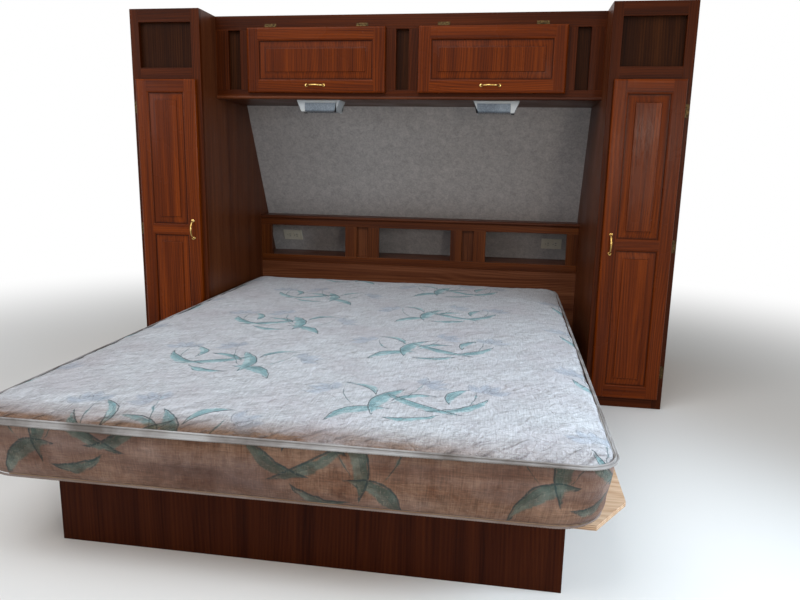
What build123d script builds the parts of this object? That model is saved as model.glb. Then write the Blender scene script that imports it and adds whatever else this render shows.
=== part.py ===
from build123d import *
import os
from math import hypot

# Built-in bed unit of a camper trailer: an island bed with a lift-up deck, a headboard shelf under a
# slanted front wall, two full-height wardrobes beside it and a two-door locker bridging them overhead.
# Millimetres. X runs to the right, Z is up, and depth runs back from the wardrobe fronts.
# The origin is under the middle of the whole unit, on the floor.

# Driving sizes of the whole
UNIT_HEIGHT = 1585.0
WARDROBE_WIDTH = 306.0
WALL_TOP_DEPTH = 336.0
WALL_LOW_DEPTH = 916.0
KNEE_HEIGHT = 450.0
LOCKER_SET = 163.0
HEADBOARD_SET = 677.0

# Stock thicknesses
PANEL = 12.0
SHEET = 5.0
FRAME = 19.0
DOOR = 19.0

# Face frames and doors
STILE = 38.0
DOOR_GAP = 2.0
DOOR_OVERLAY = 18.0
DOOR_EDGE_ROUND = 5.0
DOOR_STILE = 56.0
FIELD_BEVEL = 31.0
FIELD_DEPTH = 7.0
FIELD_SHY = 0.6
FIELD_GROOVE = 3.0
FRAME_EASE = 1.5

# Wardrobes: what is above the door is measured down from the ceiling
WARDROBE_SILL = 62.0
WARDROBE_OPENING_DROP = 299.0
INSET_LOW_DROP = 234.0
INSET_HIGH_DROP = 53.0
MID_RAIL_HEIGHT = 676.0
MID_RAIL_WIDTH = 51.0
INSET_LAP = 12.0
ROD_RADIUS = 12.5
ROD_DROP = 355.0
ROD_DEPTH = 250.0
ROD_CUP_RADIUS = 21.0
ROD_CUP_WALL = 6.0

# Overhead locker, measured down from the ceiling and in from the wardrobes
LOCKER_HEIGHT = 344.0
LOCKER_MID_STILE = 140.0
LOCKER_END_STILE = 148.0
LOCKER_DOOR_LOW_DROP = 318.0
LOCKER_DOOR_HIGH_DROP = 51.0
LOCKER_DOOR_OVERLAY = 16.0
STRIP_LOW_DROP = 304.0
STRIP_HIGH_DROP = 59.0
STRIP_WIDTH = 54.0
STRIP_END_INSET = 84.0
BEAD_HEIGHT = 14.0
BEAD_DEPTH = 7.0
BEAD_ROUND = 5.9

# Headboard
LEDGE_TOP = 697.0
LEDGE_THICK = 16.0
LEDGE_NOSE = 13.0
LEDGE_ROUND = 7.2
CUBBY_TOP = 645.0
CUBBY_FLOOR = 488.0
RAIL_BOTTOM = 452.0
MID_CUBBY_HALF = 187.0
END_CUBBY_INNER = 366.0
END_CUBBY_STILE = 56.0
HEAD_STRIP_X = 275.0
HEAD_STRIP_WIDTH = 60.0
GROOVE_CHAMFER = 4.0

# Bed
MATTRESS_WIDTH = 1524.0
MATTRESS_LENGTH = 2032.0
MATTRESS_THICK = 171.0
MATTRESS_SHIFT = -33.5
MATTRESS_SETBACK = 18.0
MATTRESS_OVERHANG = 51.0
MATTRESS_CORNER = 75.0
MATTRESS_EDGE = 12.0
BED_SIDE_ROOM = 62.0
DECK_TOP = 237.0
DECK_CLIP_X = 78.0
DECK_CLIP_DEPTH = 121.0
DECK_JOINT = 2.0
BASE_SETBACK = 106.0
BASE_SIDE_INSET = 129.0
BED_HINGE_DEPTH = 560.0
BED_HINGE_INSET = 73.0
SOFT_GAP = 0.3

# Hinges, pulls, lamps and outlets
HINGE_RADIUS = 3.5
HINGE_STAND = 4.0
HINGE_LEAF = 1.5
HINGE_LEAF_WIDTH = 13.0
HINGE_LENGTH = 50.0
HINGE_CLEAR = 0.4
BED_HINGE_LENGTH = 76.0
LOCKER_HINGE_INSET = 102.0
WARDROBE_HINGE_INSET = 115.0
PULL_CENTRES = 76.0
PULL_RISE = 24.0
PULL_BAR_WIDTH = 8.0
PULL_BAR_THICK = 5.0
PULL_FOOT_RADIUS = 7.0
PULL_FOOT_THICK = 3.0
LOCKER_PULL_INSET = 30.0
WARDROBE_PULL_RAISE = 1.0
WARDROBE_PULL_INSET = 32.0
LAMP_LENGTH = 195.0
LAMP_LOW_LENGTH = 152.0
LAMP_DEPTH = 105.0
LAMP_HEIGHT = 50.0
LAMP_SET = 22.0
LAMP_ROUND = 10.0
LAMP_SHIFTS = (1.0, 27.0)
LENS_START = -60.0
LENS_END = 80.0
LENS_TOP = 12.0
SWITCH_LENGTH = 14.0
SWITCH_DEPTH = 20.0
SWITCH_PROUD = 4.0
SWITCH_ROUND = 1.8
SWITCH_X = -70.0
OUTLET_INSET = 119.0
OUTLET_HEIGHT = 577.0
OUTLET_WIDTH = 105.0
OUTLET_TALL = 62.0
OUTLET_THICK = 5.0
OUTLET_BEVEL = 2.5
OUTLET_FACE_WIDTH = 34.0
OUTLET_FACE_TALL = 28.0
OUTLET_FACE_PROUD = 1.5
OUTLET_FACE_SPACING = 39.0
SLOT_WIDTH = 2.4
SLOT_TALL = 8.0
SLOT_DEEP = 3.0
SLOT_SPREAD = 12.0

# Worked out from the sizes above
ALCOVE_WIDTH = MATTRESS_WIDTH + 2 * BED_SIDE_ROOM
ALCOVE = ALCOVE_WIDTH / 2
HALF = ALCOVE + WARDROBE_WIDTH
SLOPE = (WALL_LOW_DEPTH - WALL_TOP_DEPTH) / (UNIT_HEIGHT - KNEE_HEIGHT)
BED_FRONT = BED_HINGE_DEPTH - MATTRESS_SETBACK - MATTRESS_LENGTH
UNIT_BACK = WALL_LOW_DEPTH + SHEET
FACE_Y = -(BED_FRONT + UNIT_BACK) / 2
OPENING_INNER = ALCOVE + STILE
OPENING_OUTER = HALF - STILE
WARDROBE_OPENING_TOP = UNIT_HEIGHT - WARDROBE_OPENING_DROP
INSET_Z = (UNIT_HEIGHT - INSET_LOW_DROP, UNIT_HEIGHT - INSET_HIGH_DROP)
HINGE_BACK = HINGE_STAND - DOOR_GAP
LOCKER_BOTTOM = UNIT_HEIGHT - LOCKER_HEIGHT
LOCKER_DOOR_X = (LOCKER_MID_STILE / 2, ALCOVE - LOCKER_END_STILE)
LOCKER_DOOR_Z = (UNIT_HEIGHT - LOCKER_DOOR_LOW_DROP, UNIT_HEIGHT - LOCKER_DOOR_HIGH_DROP)
LOCKER_DOOR_MIDDLE = (LOCKER_DOOR_X[0] + LOCKER_DOOR_X[1]) / 2
STRIP_Z = (UNIT_HEIGHT - STRIP_LOW_DROP, UNIT_HEIGHT - STRIP_HIGH_DROP)
DECK_WIDTH = MATTRESS_WIDTH
DECK_FRONT = BED_FRONT + MATTRESS_OVERHANG
BASE_WIDTH = DECK_WIDTH - 2 * BASE_SIDE_INSET
BASE_FRONT = DECK_FRONT + BASE_SETBACK


def wall_depth(z):
    """Depth of the room side of the front wall at a height: upright below the knee, slanted above."""
    return WALL_LOW_DEPTH - SLOPE * max(0.0, z - KNEE_HEIGHT)


def slab(x, depth, z):
    """A box from three (low, high) pairs."""
    size = [high - low for low, high in (x, depth, z)]
    middle = [(high + low) / 2 for low, high in (x, depth, z)]
    return Pos(*middle) * Box(*size)


def profile(points, x):
    """An outline of (depth, height) points, drawn out from one X to another."""
    face = make_face(Polyline(*points, close=True))
    return Pos(x[0], 0, 0) * extrude(Plane.YZ * face, amount=x[1] - x[0])


def to_wall(front, z, x):
    """A level board from a depth back to the front wall, its rear edge cut to the wall's slant."""
    low, high = z
    return profile([(front, low), (wall_depth(low), low), (wall_depth(high), high), (front, high)], x)


def face_frame(x, front, z, openings):
    """A flat frame of stiles and rails: a board with (x, z) openings cut through and its front eased."""
    frame = slab(x, (front, front + FRAME), z)
    for open_x, open_z in openings:
        frame -= slab(open_x, (front - FRAME, front + 2 * FRAME), open_z)
    rims = [e for e in frame.edges() if is_rim(e, front, openings)]
    return chamfer(rims, FRAME_EASE)


def is_rim(edge, front, openings):
    """True for an edge that bounds an opening on the frame's front face."""
    c = edge.center()
    if abs(c.Y - front) > 0.01:
        return False
    return any(
        open_x[0] - 0.01 <= c.X <= open_x[1] + 0.01 and open_z[0] - 0.01 <= c.Z <= open_z[1] + 0.01
        for open_x, open_z in openings
    )


def panel_door(x, front_of_frame, z, rails):
    """A raised-panel door laid over its frame. rails lists the (low, high) heights of each field."""
    back = front_of_frame - DOOR_GAP
    face = back - DOOR
    door = slab(x, (face, back), z)
    door = fillet(door.faces().sort_by(Axis.Y)[0].edges(), DOOR_EDGE_ROUND)
    field_x = (x[0] + DOOR_STILE, x[1] - DOOR_STILE)
    middle = (field_x[0] + field_x[1]) / 2
    for low, high in rails:
        door -= slab(field_x, (face - 1, face + FIELD_DEPTH), (low, high))
        wide = field_x[1] - field_x[0] - 2 * FIELD_GROOVE
        tall = high - low - 2 * FIELD_GROOVE
        foot = Pos(middle, (low + high) / 2) * Rectangle(wide, tall)
        top = Pos(middle, (low + high) / 2) * Rectangle(wide - 2 * FIELD_BEVEL, tall - 2 * FIELD_BEVEL)
        door += loft(
            [Plane.XZ.offset(-face - FIELD_DEPTH) * foot, Plane.XZ.offset(-face - FIELD_SHY) * top]
        )
    return door


def frame_leaf(length):
    """Half of a butt hinge on the fixed side: pin along X at the origin, seat at +Y, leaf towards +Z."""
    third = length / 3
    seat = (HINGE_STAND - HINGE_LEAF, HINGE_STAND)
    leaf = slab((-length / 2, length / 2), seat, (HINGE_RADIUS + HINGE_CLEAR, HINGE_LEAF_WIDTH))
    for side in (-1, 1):
        middle = side * third
        span = (middle - third / 2 + HINGE_CLEAR / 2, middle + third / 2 - HINGE_CLEAR / 2)
        leaf += slab(span, seat, (0, HINGE_RADIUS + HINGE_CLEAR))
        leaf += Pos(middle, 0, 0) * Rot(0, 90, 0) * Cylinder(HINGE_RADIUS, span[1] - span[0])
    return leaf


def door_leaf(length, seat_y):
    """Half of a butt hinge on the moving side, its leaf towards -Z, its outer face at seat_y."""
    third = length / 3
    seat = (seat_y, seat_y + HINGE_LEAF)
    span = (-third / 2 + HINGE_CLEAR / 2, third / 2 - HINGE_CLEAR / 2)
    leaf = slab((-length / 2, length / 2), seat, (-HINGE_LEAF_WIDTH, -HINGE_RADIUS - HINGE_CLEAR))
    leaf += slab(span, seat, (-HINGE_RADIUS - HINGE_CLEAR, 0))
    leaf += Rot(0, 90, 0) * Cylinder(HINGE_RADIUS, span[1] - span[0])
    return leaf


def bow_pull():
    """A flat-backed bow handle along X, standing out towards -Y from two round feet."""
    half = PULL_CENTRES / 2
    thick = PULL_BAR_THICK / 2
    inner = ThreePointArc((thick - half, 0), (0, thick - PULL_RISE), (half - thick, 0))
    outer = ThreePointArc((half + thick, 0), (0, -thick - PULL_RISE), (-half - thick, 0))
    band = make_face([inner, Line(inner @ 1, outer @ 0), outer, Line(outer @ 1, inner @ 0)])
    pull = Pos(0, 0, -PULL_BAR_WIDTH / 2) * extrude(band, amount=PULL_BAR_WIDTH)
    for side in (-half, half):
        pull += Pos(side, -PULL_FOOT_THICK / 2, 0) * Rot(90, 0, 0) * Cylinder(PULL_FOOT_RADIUS, PULL_FOOT_THICK)
    return pull


def lamp():
    """A reading lamp hanging from z = 0: a tapered body cut into a housing, a lens and a rocker."""
    high = LAMP_LENGTH / 2
    low = LAMP_LOW_LENGTH / 2
    outline = make_face(
        Polyline((-high, 0), (high, 0), (low, -LAMP_HEIGHT), (-low, -LAMP_HEIGHT), close=True)
    )
    body = extrude(Plane.XZ * outline, amount=-LAMP_DEPTH)
    under = body.faces().sort_by(Axis.Z)[0]
    body = fillet([e for e in under.edges() if abs((e % 0).X) > 0.9], LAMP_ROUND)
    lens_zone = slab((LENS_START, LENS_END), (-1, LAMP_DEPTH + 1), (-LAMP_HEIGHT - 1, -LENS_TOP))
    lens = body & lens_zone
    housing = body - lens_zone
    switch_x = (SWITCH_X - SWITCH_LENGTH / 2, SWITCH_X + SWITCH_LENGTH / 2)
    switch_depth = ((LAMP_DEPTH - SWITCH_DEPTH) / 2, (LAMP_DEPTH + SWITCH_DEPTH) / 2)
    rocker = slab(switch_x, switch_depth, (-LAMP_HEIGHT - SWITCH_PROUD, -LAMP_HEIGHT))
    rocker = fillet(rocker.edges().filter_by(Axis.Y).group_by(Axis.Z)[0], SWITCH_ROUND)
    return housing, lens, rocker


def outlet():
    """A two-socket outlet plate, lying in XY with its face towards +Z."""
    plate = Pos(0, 0, OUTLET_THICK / 2) * Box(OUTLET_WIDTH, OUTLET_TALL, OUTLET_THICK)
    plate = chamfer(plate.faces().sort_by(Axis.Z)[-1].edges(), OUTLET_BEVEL)
    top = OUTLET_THICK + OUTLET_FACE_PROUD
    for side in (-1, 1):
        x = side * OUTLET_FACE_SPACING / 2
        face = Box(OUTLET_FACE_WIDTH, OUTLET_FACE_TALL, 2 * OUTLET_FACE_PROUD)
        plate += Pos(x, 0, OUTLET_THICK) * face
        for slot in (-1, 1):
            y = slot * SLOT_SPREAD / 2
            blade = Box(SLOT_TALL, SLOT_WIDTH, SLOT_DEEP)
            plate -= Pos(x + SLOT_WIDTH, y, top - SLOT_DEEP / 2) * blade
        ground = Box(2 * SLOT_WIDTH, 2 * SLOT_WIDTH, SLOT_DEEP)
        plate -= Pos(x - OUTLET_FACE_WIDTH / 2 + 3 * SLOT_WIDTH, 0, top - SLOT_DEEP / 2) * ground
    return plate


def mirrored(right, nodes):
    """Adds a right-hand piece and its mirror image under two names."""
    for name, shape in right.items():
        nodes[name + "_right"] = shape
        nodes[name + "_left"] = mirror(shape, about=Plane.YZ)


def wardrobes(nodes):
    """The two wardrobes, modelled on the right and mirrored."""
    tall = (0, UNIT_HEIGHT)
    carcass = [
        (FRAME, 0), (WALL_LOW_DEPTH, 0), (WALL_LOW_DEPTH, KNEE_HEIGHT),
        (WALL_TOP_DEPTH, UNIT_HEIGHT), (FRAME, UNIT_HEIGHT),
    ]
    inside = (ALCOVE + PANEL, HALF - PANEL)
    opening_x = (OPENING_INNER, OPENING_OUTER)
    openings = [
        (opening_x, (WARDROBE_SILL, WARDROBE_OPENING_TOP)),
        (opening_x, INSET_Z),
    ]
    inset_x = (OPENING_INNER - INSET_LAP, OPENING_OUTER + INSET_LAP)
    door_x = (OPENING_INNER - DOOR_OVERLAY, OPENING_OUTER + DOOR_OVERLAY)
    door_z = (WARDROBE_SILL - DOOR_OVERLAY, WARDROBE_OPENING_TOP + DOOR_OVERLAY)
    fields = [
        (door_z[0] + DOOR_STILE, MID_RAIL_HEIGHT - MID_RAIL_WIDTH / 2),
        (MID_RAIL_HEIGHT + MID_RAIL_WIDTH / 2, door_z[1] - DOOR_STILE),
    ]
    rod_middle = (inside[0] + inside[1]) / 2
    rod_height = UNIT_HEIGHT - ROD_DROP
    rod = Pos(rod_middle, ROD_DEPTH, rod_height) * Rot(0, 90, 0) * Cylinder(ROD_RADIUS, inside[1] - inside[0])
    for wall in (inside[0] + ROD_CUP_WALL / 2, inside[1] - ROD_CUP_WALL / 2):
        rod += Pos(wall, ROD_DEPTH, rod_height) * Rot(0, 90, 0) * Cylinder(ROD_CUP_RADIUS, ROD_CUP_WALL)
    pull_x = door_x[0] + WARDROBE_PULL_INSET
    pull_at = Pos(pull_x, -DOOR_GAP - DOOR, MID_RAIL_HEIGHT + WARDROBE_PULL_RAISE)
    fixed = []
    moving = []
    low_hinge = door_z[0] + WARDROBE_HINGE_INSET
    high_hinge = door_z[1] - WARDROBE_HINGE_INSET
    for height in (low_hinge, (low_hinge + high_hinge) / 2, high_hinge):
        pin = Plane(
            origin=(door_x[1] + HINGE_STAND, -HINGE_STAND, height), x_dir=(0, 0, -1), z_dir=(1, 0, 0)
        )
        fixed.append(pin * frame_leaf(HINGE_LENGTH))
        moving.append(pin * door_leaf(HINGE_LENGTH, HINGE_BACK))
    mirrored(
        {
            "wardrobe_side_inner": profile(carcass, (ALCOVE, ALCOVE + PANEL)),
            "wardrobe_side_outer": profile(carcass, (HALF - PANEL, HALF)),
            "wardrobe_face_frame": face_frame((ALCOVE, HALF), 0, tall, openings),
            "wardrobe_inset": slab(
                inset_x, (FRAME, FRAME + SHEET), (INSET_Z[0] - INSET_LAP, INSET_Z[1] + INSET_LAP)
            ),
            "wardrobe_floor": to_wall(FRAME, (WARDROBE_SILL - PANEL, WARDROBE_SILL), inside),
            "wardrobe_top": to_wall(FRAME, (UNIT_HEIGHT - SHEET, UNIT_HEIGHT), inside),
            "wardrobe_rod": rod,
            "wardrobe_door": panel_door(door_x, 0, door_z, fields),
            "wardrobe_pull": pull_at * Rot(0, 90, 0) * bow_pull(),
            "wardrobe_door_leaves": Compound(moving),
            "wardrobe_frame_leaves": Compound(fixed),
        },
        nodes,
    )


def locker(nodes):
    """The overhead locker between the wardrobes, with its two top-hung doors."""
    span = (-ALCOVE, ALCOVE)
    half_strip = STRIP_WIDTH / 2
    strips = [STRIP_END_INSET - ALCOVE, 0.0, ALCOVE - STRIP_END_INSET]
    inner = LOCKER_DOOR_X[0] + LOCKER_DOOR_OVERLAY
    outer = LOCKER_DOOR_X[1] - LOCKER_DOOR_OVERLAY
    door_open_z = (LOCKER_DOOR_Z[0] + LOCKER_DOOR_OVERLAY, LOCKER_DOOR_Z[1] - LOCKER_DOOR_OVERLAY)
    openings = [((x - half_strip, x + half_strip), STRIP_Z) for x in strips]
    openings += [((-outer, -inner), door_open_z), ((inner, outer), door_open_z)]
    back = LOCKER_SET + FRAME
    nodes["locker_face_frame"] = face_frame(span, LOCKER_SET, (LOCKER_BOTTOM, UNIT_HEIGHT), openings)
    nodes["locker_insets"] = Compound([
        slab(
            (x - half_strip - INSET_LAP, x + half_strip + INSET_LAP),
            (back, back + SHEET),
            (STRIP_Z[0] - INSET_LAP, STRIP_Z[1] + INSET_LAP),
        )
        for x in strips
    ])
    floor_z = (LOCKER_BOTTOM, LOCKER_BOTTOM + PANEL)
    top_z = (UNIT_HEIGHT - SHEET, UNIT_HEIGHT)
    nodes["locker_bottom"] = to_wall(back, floor_z, span)
    nodes["locker_top"] = to_wall(back, top_z, span)
    nodes["locker_divider"] = to_wall(back + SHEET, (floor_z[1], top_z[0]), (-PANEL / 2, PANEL / 2))
    bead = slab(span, (LOCKER_SET - BEAD_DEPTH, LOCKER_SET), (LOCKER_BOTTOM, LOCKER_BOTTOM + BEAD_HEIGHT))
    front_edges = [e for e in bead.faces().sort_by(Axis.Y)[0].edges() if abs((e % 0).X) > 0.9]
    nodes["locker_bead"] = fillet(front_edges, BEAD_ROUND)
    field = (LOCKER_DOOR_Z[0] + DOOR_STILE, LOCKER_DOOR_Z[1] - DOOR_STILE)
    pin_depth = LOCKER_SET - HINGE_STAND
    pin_height = LOCKER_DOOR_Z[1] + HINGE_STAND
    hinge_xs = (LOCKER_DOOR_X[0] + LOCKER_HINGE_INSET, LOCKER_DOOR_X[1] - LOCKER_HINGE_INSET)
    pull_at = Pos(LOCKER_DOOR_MIDDLE, LOCKER_SET - DOOR_GAP - DOOR, LOCKER_DOOR_Z[0] + LOCKER_PULL_INSET)
    pins = [Pos(x, pin_depth, pin_height) for x in hinge_xs]
    mirrored(
        {
            "locker_door": panel_door(LOCKER_DOOR_X, LOCKER_SET, LOCKER_DOOR_Z, [field]),
            "locker_pull": pull_at * bow_pull(),
            "locker_door_leaves": Compound([pin * door_leaf(HINGE_LENGTH, HINGE_BACK) for pin in pins]),
            "locker_frame_leaves": Compound([pin * frame_leaf(HINGE_LENGTH) for pin in pins]),
        },
        nodes,
    )


def lamps(nodes):
    """Two reading lamps under the locker, their switch ends outwards."""
    housing, lens, rocker = lamp()
    pieces = {"lamp_housings": [], "lamp_lenses": [], "lamp_switches": []}
    for side, shift in zip((-1, 1), LAMP_SHIFTS):
        x = side * LOCKER_DOOR_MIDDLE + shift
        place = Pos(x, LOCKER_SET + LAMP_SET, LOCKER_BOTTOM)
        for name, shape in zip(pieces, (housing, lens, rocker)):
            outward = shape if x < 0 else mirror(shape, about=Plane.YZ)
            pieces[name].append(place * outward)
    for name, shapes in pieces.items():
        nodes[name] = Compound(shapes)


def headboard(nodes):
    """The shelf behind the pillows: ledge, pierced face, cubby floor, lower board and outlets."""
    span = (-ALCOVE, ALCOVE)
    half_strip = HEAD_STRIP_WIDTH / 2
    cubby_z = (CUBBY_FLOOR, CUBBY_TOP)
    end_cubby_outer = ALCOVE - END_CUBBY_STILE
    openings = [
        ((-end_cubby_outer, -END_CUBBY_INNER), cubby_z),
        ((-HEAD_STRIP_X - half_strip, -HEAD_STRIP_X + half_strip), cubby_z),
        ((-MID_CUBBY_HALF, MID_CUBBY_HALF), cubby_z),
        ((HEAD_STRIP_X - half_strip, HEAD_STRIP_X + half_strip), cubby_z),
        ((END_CUBBY_INNER, end_cubby_outer), cubby_z),
    ]
    back = HEADBOARD_SET + FRAME
    ledge_low = LEDGE_TOP - LEDGE_THICK
    nodes["headboard_face_frame"] = face_frame(span, HEADBOARD_SET, (RAIL_BOTTOM, ledge_low), openings)
    nodes["headboard_insets"] = Compound([
        slab(
            (x - half_strip - INSET_LAP, x + half_strip + INSET_LAP),
            (back, back + SHEET),
            (CUBBY_FLOOR, CUBBY_TOP + INSET_LAP),
        )
        for x in (-HEAD_STRIP_X, HEAD_STRIP_X)
    ])
    ledge = to_wall(HEADBOARD_SET - LEDGE_NOSE, (ledge_low, LEDGE_TOP), span)
    nose = [e for e in ledge.faces().sort_by(Axis.Y)[0].edges() if abs((e % 0).X) > 0.9]
    nodes["headboard_ledge"] = fillet(nose, LEDGE_ROUND)
    nodes["headboard_shelf"] = to_wall(back, (CUBBY_FLOOR - PANEL, CUBBY_FLOOR), span)
    board = slab(span, (HEADBOARD_SET, HEADBOARD_SET + PANEL), (0, RAIL_BOTTOM))
    lip = [e for e in board.faces().sort_by(Axis.Z)[-1].edges() if abs(e.center().Y - HEADBOARD_SET) < 0.01]
    nodes["headboard_lower_board"] = chamfer(lip, GROOVE_CHAMFER)
    norm = hypot(1.0, SLOPE)
    for side, name in ((-1, "outlet_left"), (1, "outlet_right")):
        seat = Plane(
            origin=(side * (ALCOVE - OUTLET_INSET), wall_depth(OUTLET_HEIGHT), OUTLET_HEIGHT),
            x_dir=(1, 0, 0),
            z_dir=(0, -1 / norm, -SLOPE / norm),
        )
        nodes[name] = seat * outlet()


def linings(nodes):
    """The front wall's lining: one slanted sheet over one upright sheet, across the whole width."""
    span = (-HALF, HALF)
    rise = SHEET * hypot(1.0, SLOPE)
    nodes["wall_lining_sloped"] = profile(
        [
            (WALL_LOW_DEPTH, KNEE_HEIGHT),
            (WALL_LOW_DEPTH + SHEET, KNEE_HEIGHT),
            (WALL_TOP_DEPTH + rise, UNIT_HEIGHT),
            (WALL_TOP_DEPTH, UNIT_HEIGHT),
        ],
        span,
    )
    nodes["wall_lining_lower"] = slab(span, (WALL_LOW_DEPTH, WALL_LOW_DEPTH + SHEET), (0, KNEE_HEIGHT))


def bed(nodes):
    """The island bed: hollow base, fixed head strip, hinged deck and mattress."""
    half = BASE_WIDTH / 2
    under = DECK_TOP - PANEL
    nodes["bed_base_front"] = slab((-half, half), (BASE_FRONT, BASE_FRONT + PANEL), (0, under))
    for side, name in ((-1, "bed_base_side_left"), (1, "bed_base_side_right")):
        walls = sorted((side * half, side * (half - PANEL)))
        nodes[name] = slab(walls, (BASE_FRONT + PANEL, HEADBOARD_SET), (0, under))
    cross = (BED_HINGE_DEPTH - PANEL / 2, BED_HINGE_DEPTH + PANEL / 2)
    nodes["bed_base_cross"] = slab((PANEL - half, half - PANEL), cross, (0, under))
    deck_half = DECK_WIDTH / 2
    joint = DECK_JOINT / 2
    nodes["bed_platform"] = slab(
        (-deck_half, deck_half), (BED_HINGE_DEPTH + joint, HEADBOARD_SET), (under, DECK_TOP)
    )
    deck_back = BED_HINGE_DEPTH - joint
    outline = make_face(
        Polyline(
            (-deck_half, deck_back),
            (-deck_half, DECK_FRONT + DECK_CLIP_DEPTH),
            (DECK_CLIP_X - deck_half, DECK_FRONT),
            (deck_half - DECK_CLIP_X, DECK_FRONT),
            (deck_half, DECK_FRONT + DECK_CLIP_DEPTH),
            (deck_half, deck_back),
            close=True,
        )
    )
    nodes["bed_deck"] = Pos(0, 0, under) * extrude(outline, amount=PANEL)
    low = DECK_TOP + SOFT_GAP
    high = low + MATTRESS_THICK
    sides = (MATTRESS_SHIFT - MATTRESS_WIDTH / 2, MATTRESS_SHIFT + MATTRESS_WIDTH / 2)
    mattress = slab(sides, (BED_FRONT, BED_FRONT + MATTRESS_LENGTH), (low, high))
    mattress = fillet(mattress.edges().filter_by(Axis.Z), MATTRESS_CORNER)
    rims = mattress.faces().sort_by(Axis.Z)[-1].edges() + mattress.faces().sort_by(Axis.Z)[0].edges()
    nodes["mattress"] = chamfer(rims, MATTRESS_EDGE)
    fixed = []
    moving = []
    hinge_reach = half - BED_HINGE_INSET
    for x in (-hinge_reach, hinge_reach):
        pin = Plane(origin=(x, BED_HINGE_DEPTH, DECK_TOP + HINGE_STAND), x_dir=(1, 0, 0), z_dir=(0, 1, 0))
        fixed.append(pin * frame_leaf(BED_HINGE_LENGTH))
        moving.append(pin * door_leaf(BED_HINGE_LENGTH, HINGE_STAND - HINGE_LEAF))
    nodes["bed_hinge_fixed"] = Compound(fixed)
    nodes["bed_hinge_moving"] = Compound(moving)


def main():
    nodes = {}
    linings(nodes)
    wardrobes(nodes)
    locker(nodes)
    lamps(nodes)
    headboard(nodes)
    bed(nodes)
    os.makedirs("parts", exist_ok=True)
    for name, shape in nodes.items():
        export_step(Pos(0, FACE_Y, 0) * shape, f"parts/{name}.step")


main()
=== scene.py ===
"""Dresses the built-in bed unit of a camper trailer: oak cabinets, papered wall, lamps, bed and mattress.

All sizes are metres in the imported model's own frame: +X right, +Y towards the headboard, +Z up.
"""
from functools import reduce
from math import atan2, cos, hypot, pi, radians, sin
from types import SimpleNamespace

import bmesh
import bpy
import numpy as np
from mathutils import Matrix, Vector


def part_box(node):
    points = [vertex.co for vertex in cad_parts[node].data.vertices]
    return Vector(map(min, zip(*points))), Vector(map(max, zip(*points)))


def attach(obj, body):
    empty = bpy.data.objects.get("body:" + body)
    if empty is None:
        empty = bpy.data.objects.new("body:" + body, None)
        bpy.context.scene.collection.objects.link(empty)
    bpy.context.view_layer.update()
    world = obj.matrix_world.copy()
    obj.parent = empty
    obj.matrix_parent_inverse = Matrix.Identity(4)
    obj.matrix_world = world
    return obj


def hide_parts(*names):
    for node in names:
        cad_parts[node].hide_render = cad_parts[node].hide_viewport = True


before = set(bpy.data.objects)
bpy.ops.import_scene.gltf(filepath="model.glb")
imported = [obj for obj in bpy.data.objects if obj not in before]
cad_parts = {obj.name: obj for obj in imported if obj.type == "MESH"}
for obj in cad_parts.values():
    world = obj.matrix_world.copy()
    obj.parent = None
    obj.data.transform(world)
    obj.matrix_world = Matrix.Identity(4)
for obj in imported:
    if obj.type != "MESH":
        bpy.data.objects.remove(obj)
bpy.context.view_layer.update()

# Kinds of node. The operation of a maths node stands after the dot.
NOISE = "ShaderNodeTexNoise"
REMAP = "ShaderNodeMapRange"
RAMP = "ShaderNodeValToRGB"
MIX = "ShaderNodeMix"
PLACE = "ShaderNodeTexCoord"
APART = "ShaderNodeSeparateXYZ"
TOGETHER = "ShaderNodeCombineXYZ"
VECTOR = "ShaderNodeVectorMath."
MATH = "ShaderNodeMath."
MULTIPLY = MATH + "MULTIPLY"
MULTIPLY_ADD = MATH + "MULTIPLY_ADD"
SUBTRACT = MATH + "SUBTRACT"
ABSOLUTE = MATH + "ABSOLUTE"
MAXIMUM = MATH + "MAXIMUM"
SINE = MATH + "SINE"
BLEND = {"out": 2, "data_type": "RGBA"}

# Camera, from the fit of the object's edges in the photograph
PHOTO_WIDTH_PX = 800
FOCAL_PX = 676.85
SENSOR = 36.0
CAMERA_AT = (0.4651, -2.5034, 0.9723)
CAMERA_YAW = 0.1529
CAMERA_PITCH = 0.1980
CAMERA_ROLL = 0.0191

# Joinery. Shapes are lists of (distance in from the edge, depth behind the face, rubbed + or glazed -)
DOOR_STILE = 0.056
MID_RAIL = (0.6505, 0.7015)
BOARD_EASE = 0.0009
MERGED_WITHIN = 0.00002
EDGE_SHAPE = ((0.0, 0.019, 0.0), (0.0, 0.0062, 0.3), (0.0007, 0.0040, 0.6), (0.0022, 0.0021, 0.8),
              (0.0046, 0.0008, 0.5), (0.0066, 0.0, 0.2))
STICK_SHAPE = ((0.0068, 0.0, 0.0), (0.0062, 0.0009, 0.5), (0.0042, 0.0013, 0.4), (0.0019, 0.0026, 0.0),
               (0.0004, 0.0048, -0.5), (0.0, 0.007, -1.0))
FIELD_SHAPE = ((0.0, 0.007, -1.0), (0.003, 0.007, -1.0), (0.003, 0.0063, -0.9), (0.006, 0.0061, -0.4),
               (0.012, 0.0054, 0.0), (0.021, 0.0043, 0.2), (0.0285, 0.0033, -0.1), (0.0293, 0.0030, -0.9),
               (0.0303, 0.0009, -0.7), (0.0312, 0.0006, 0.6), (0.0324, 0.0006, 0.5))
FRAME_STILE = 0.038
WARDROBE_RAILS = ((0.0, 0.062), (1.286, 1.351), (1.532, 1.585))
LOCKER_RAILS = (1.281, 1.526)
LOCKER_UPRIGHTS = ((-0.824, -0.767), (-0.713, -0.660), (-0.086, -0.027), (0.027, 0.086), (0.660, 0.713),
                   (0.767, 0.824))
HEADBOARD_RAILS = (0.488, 0.645)
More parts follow.
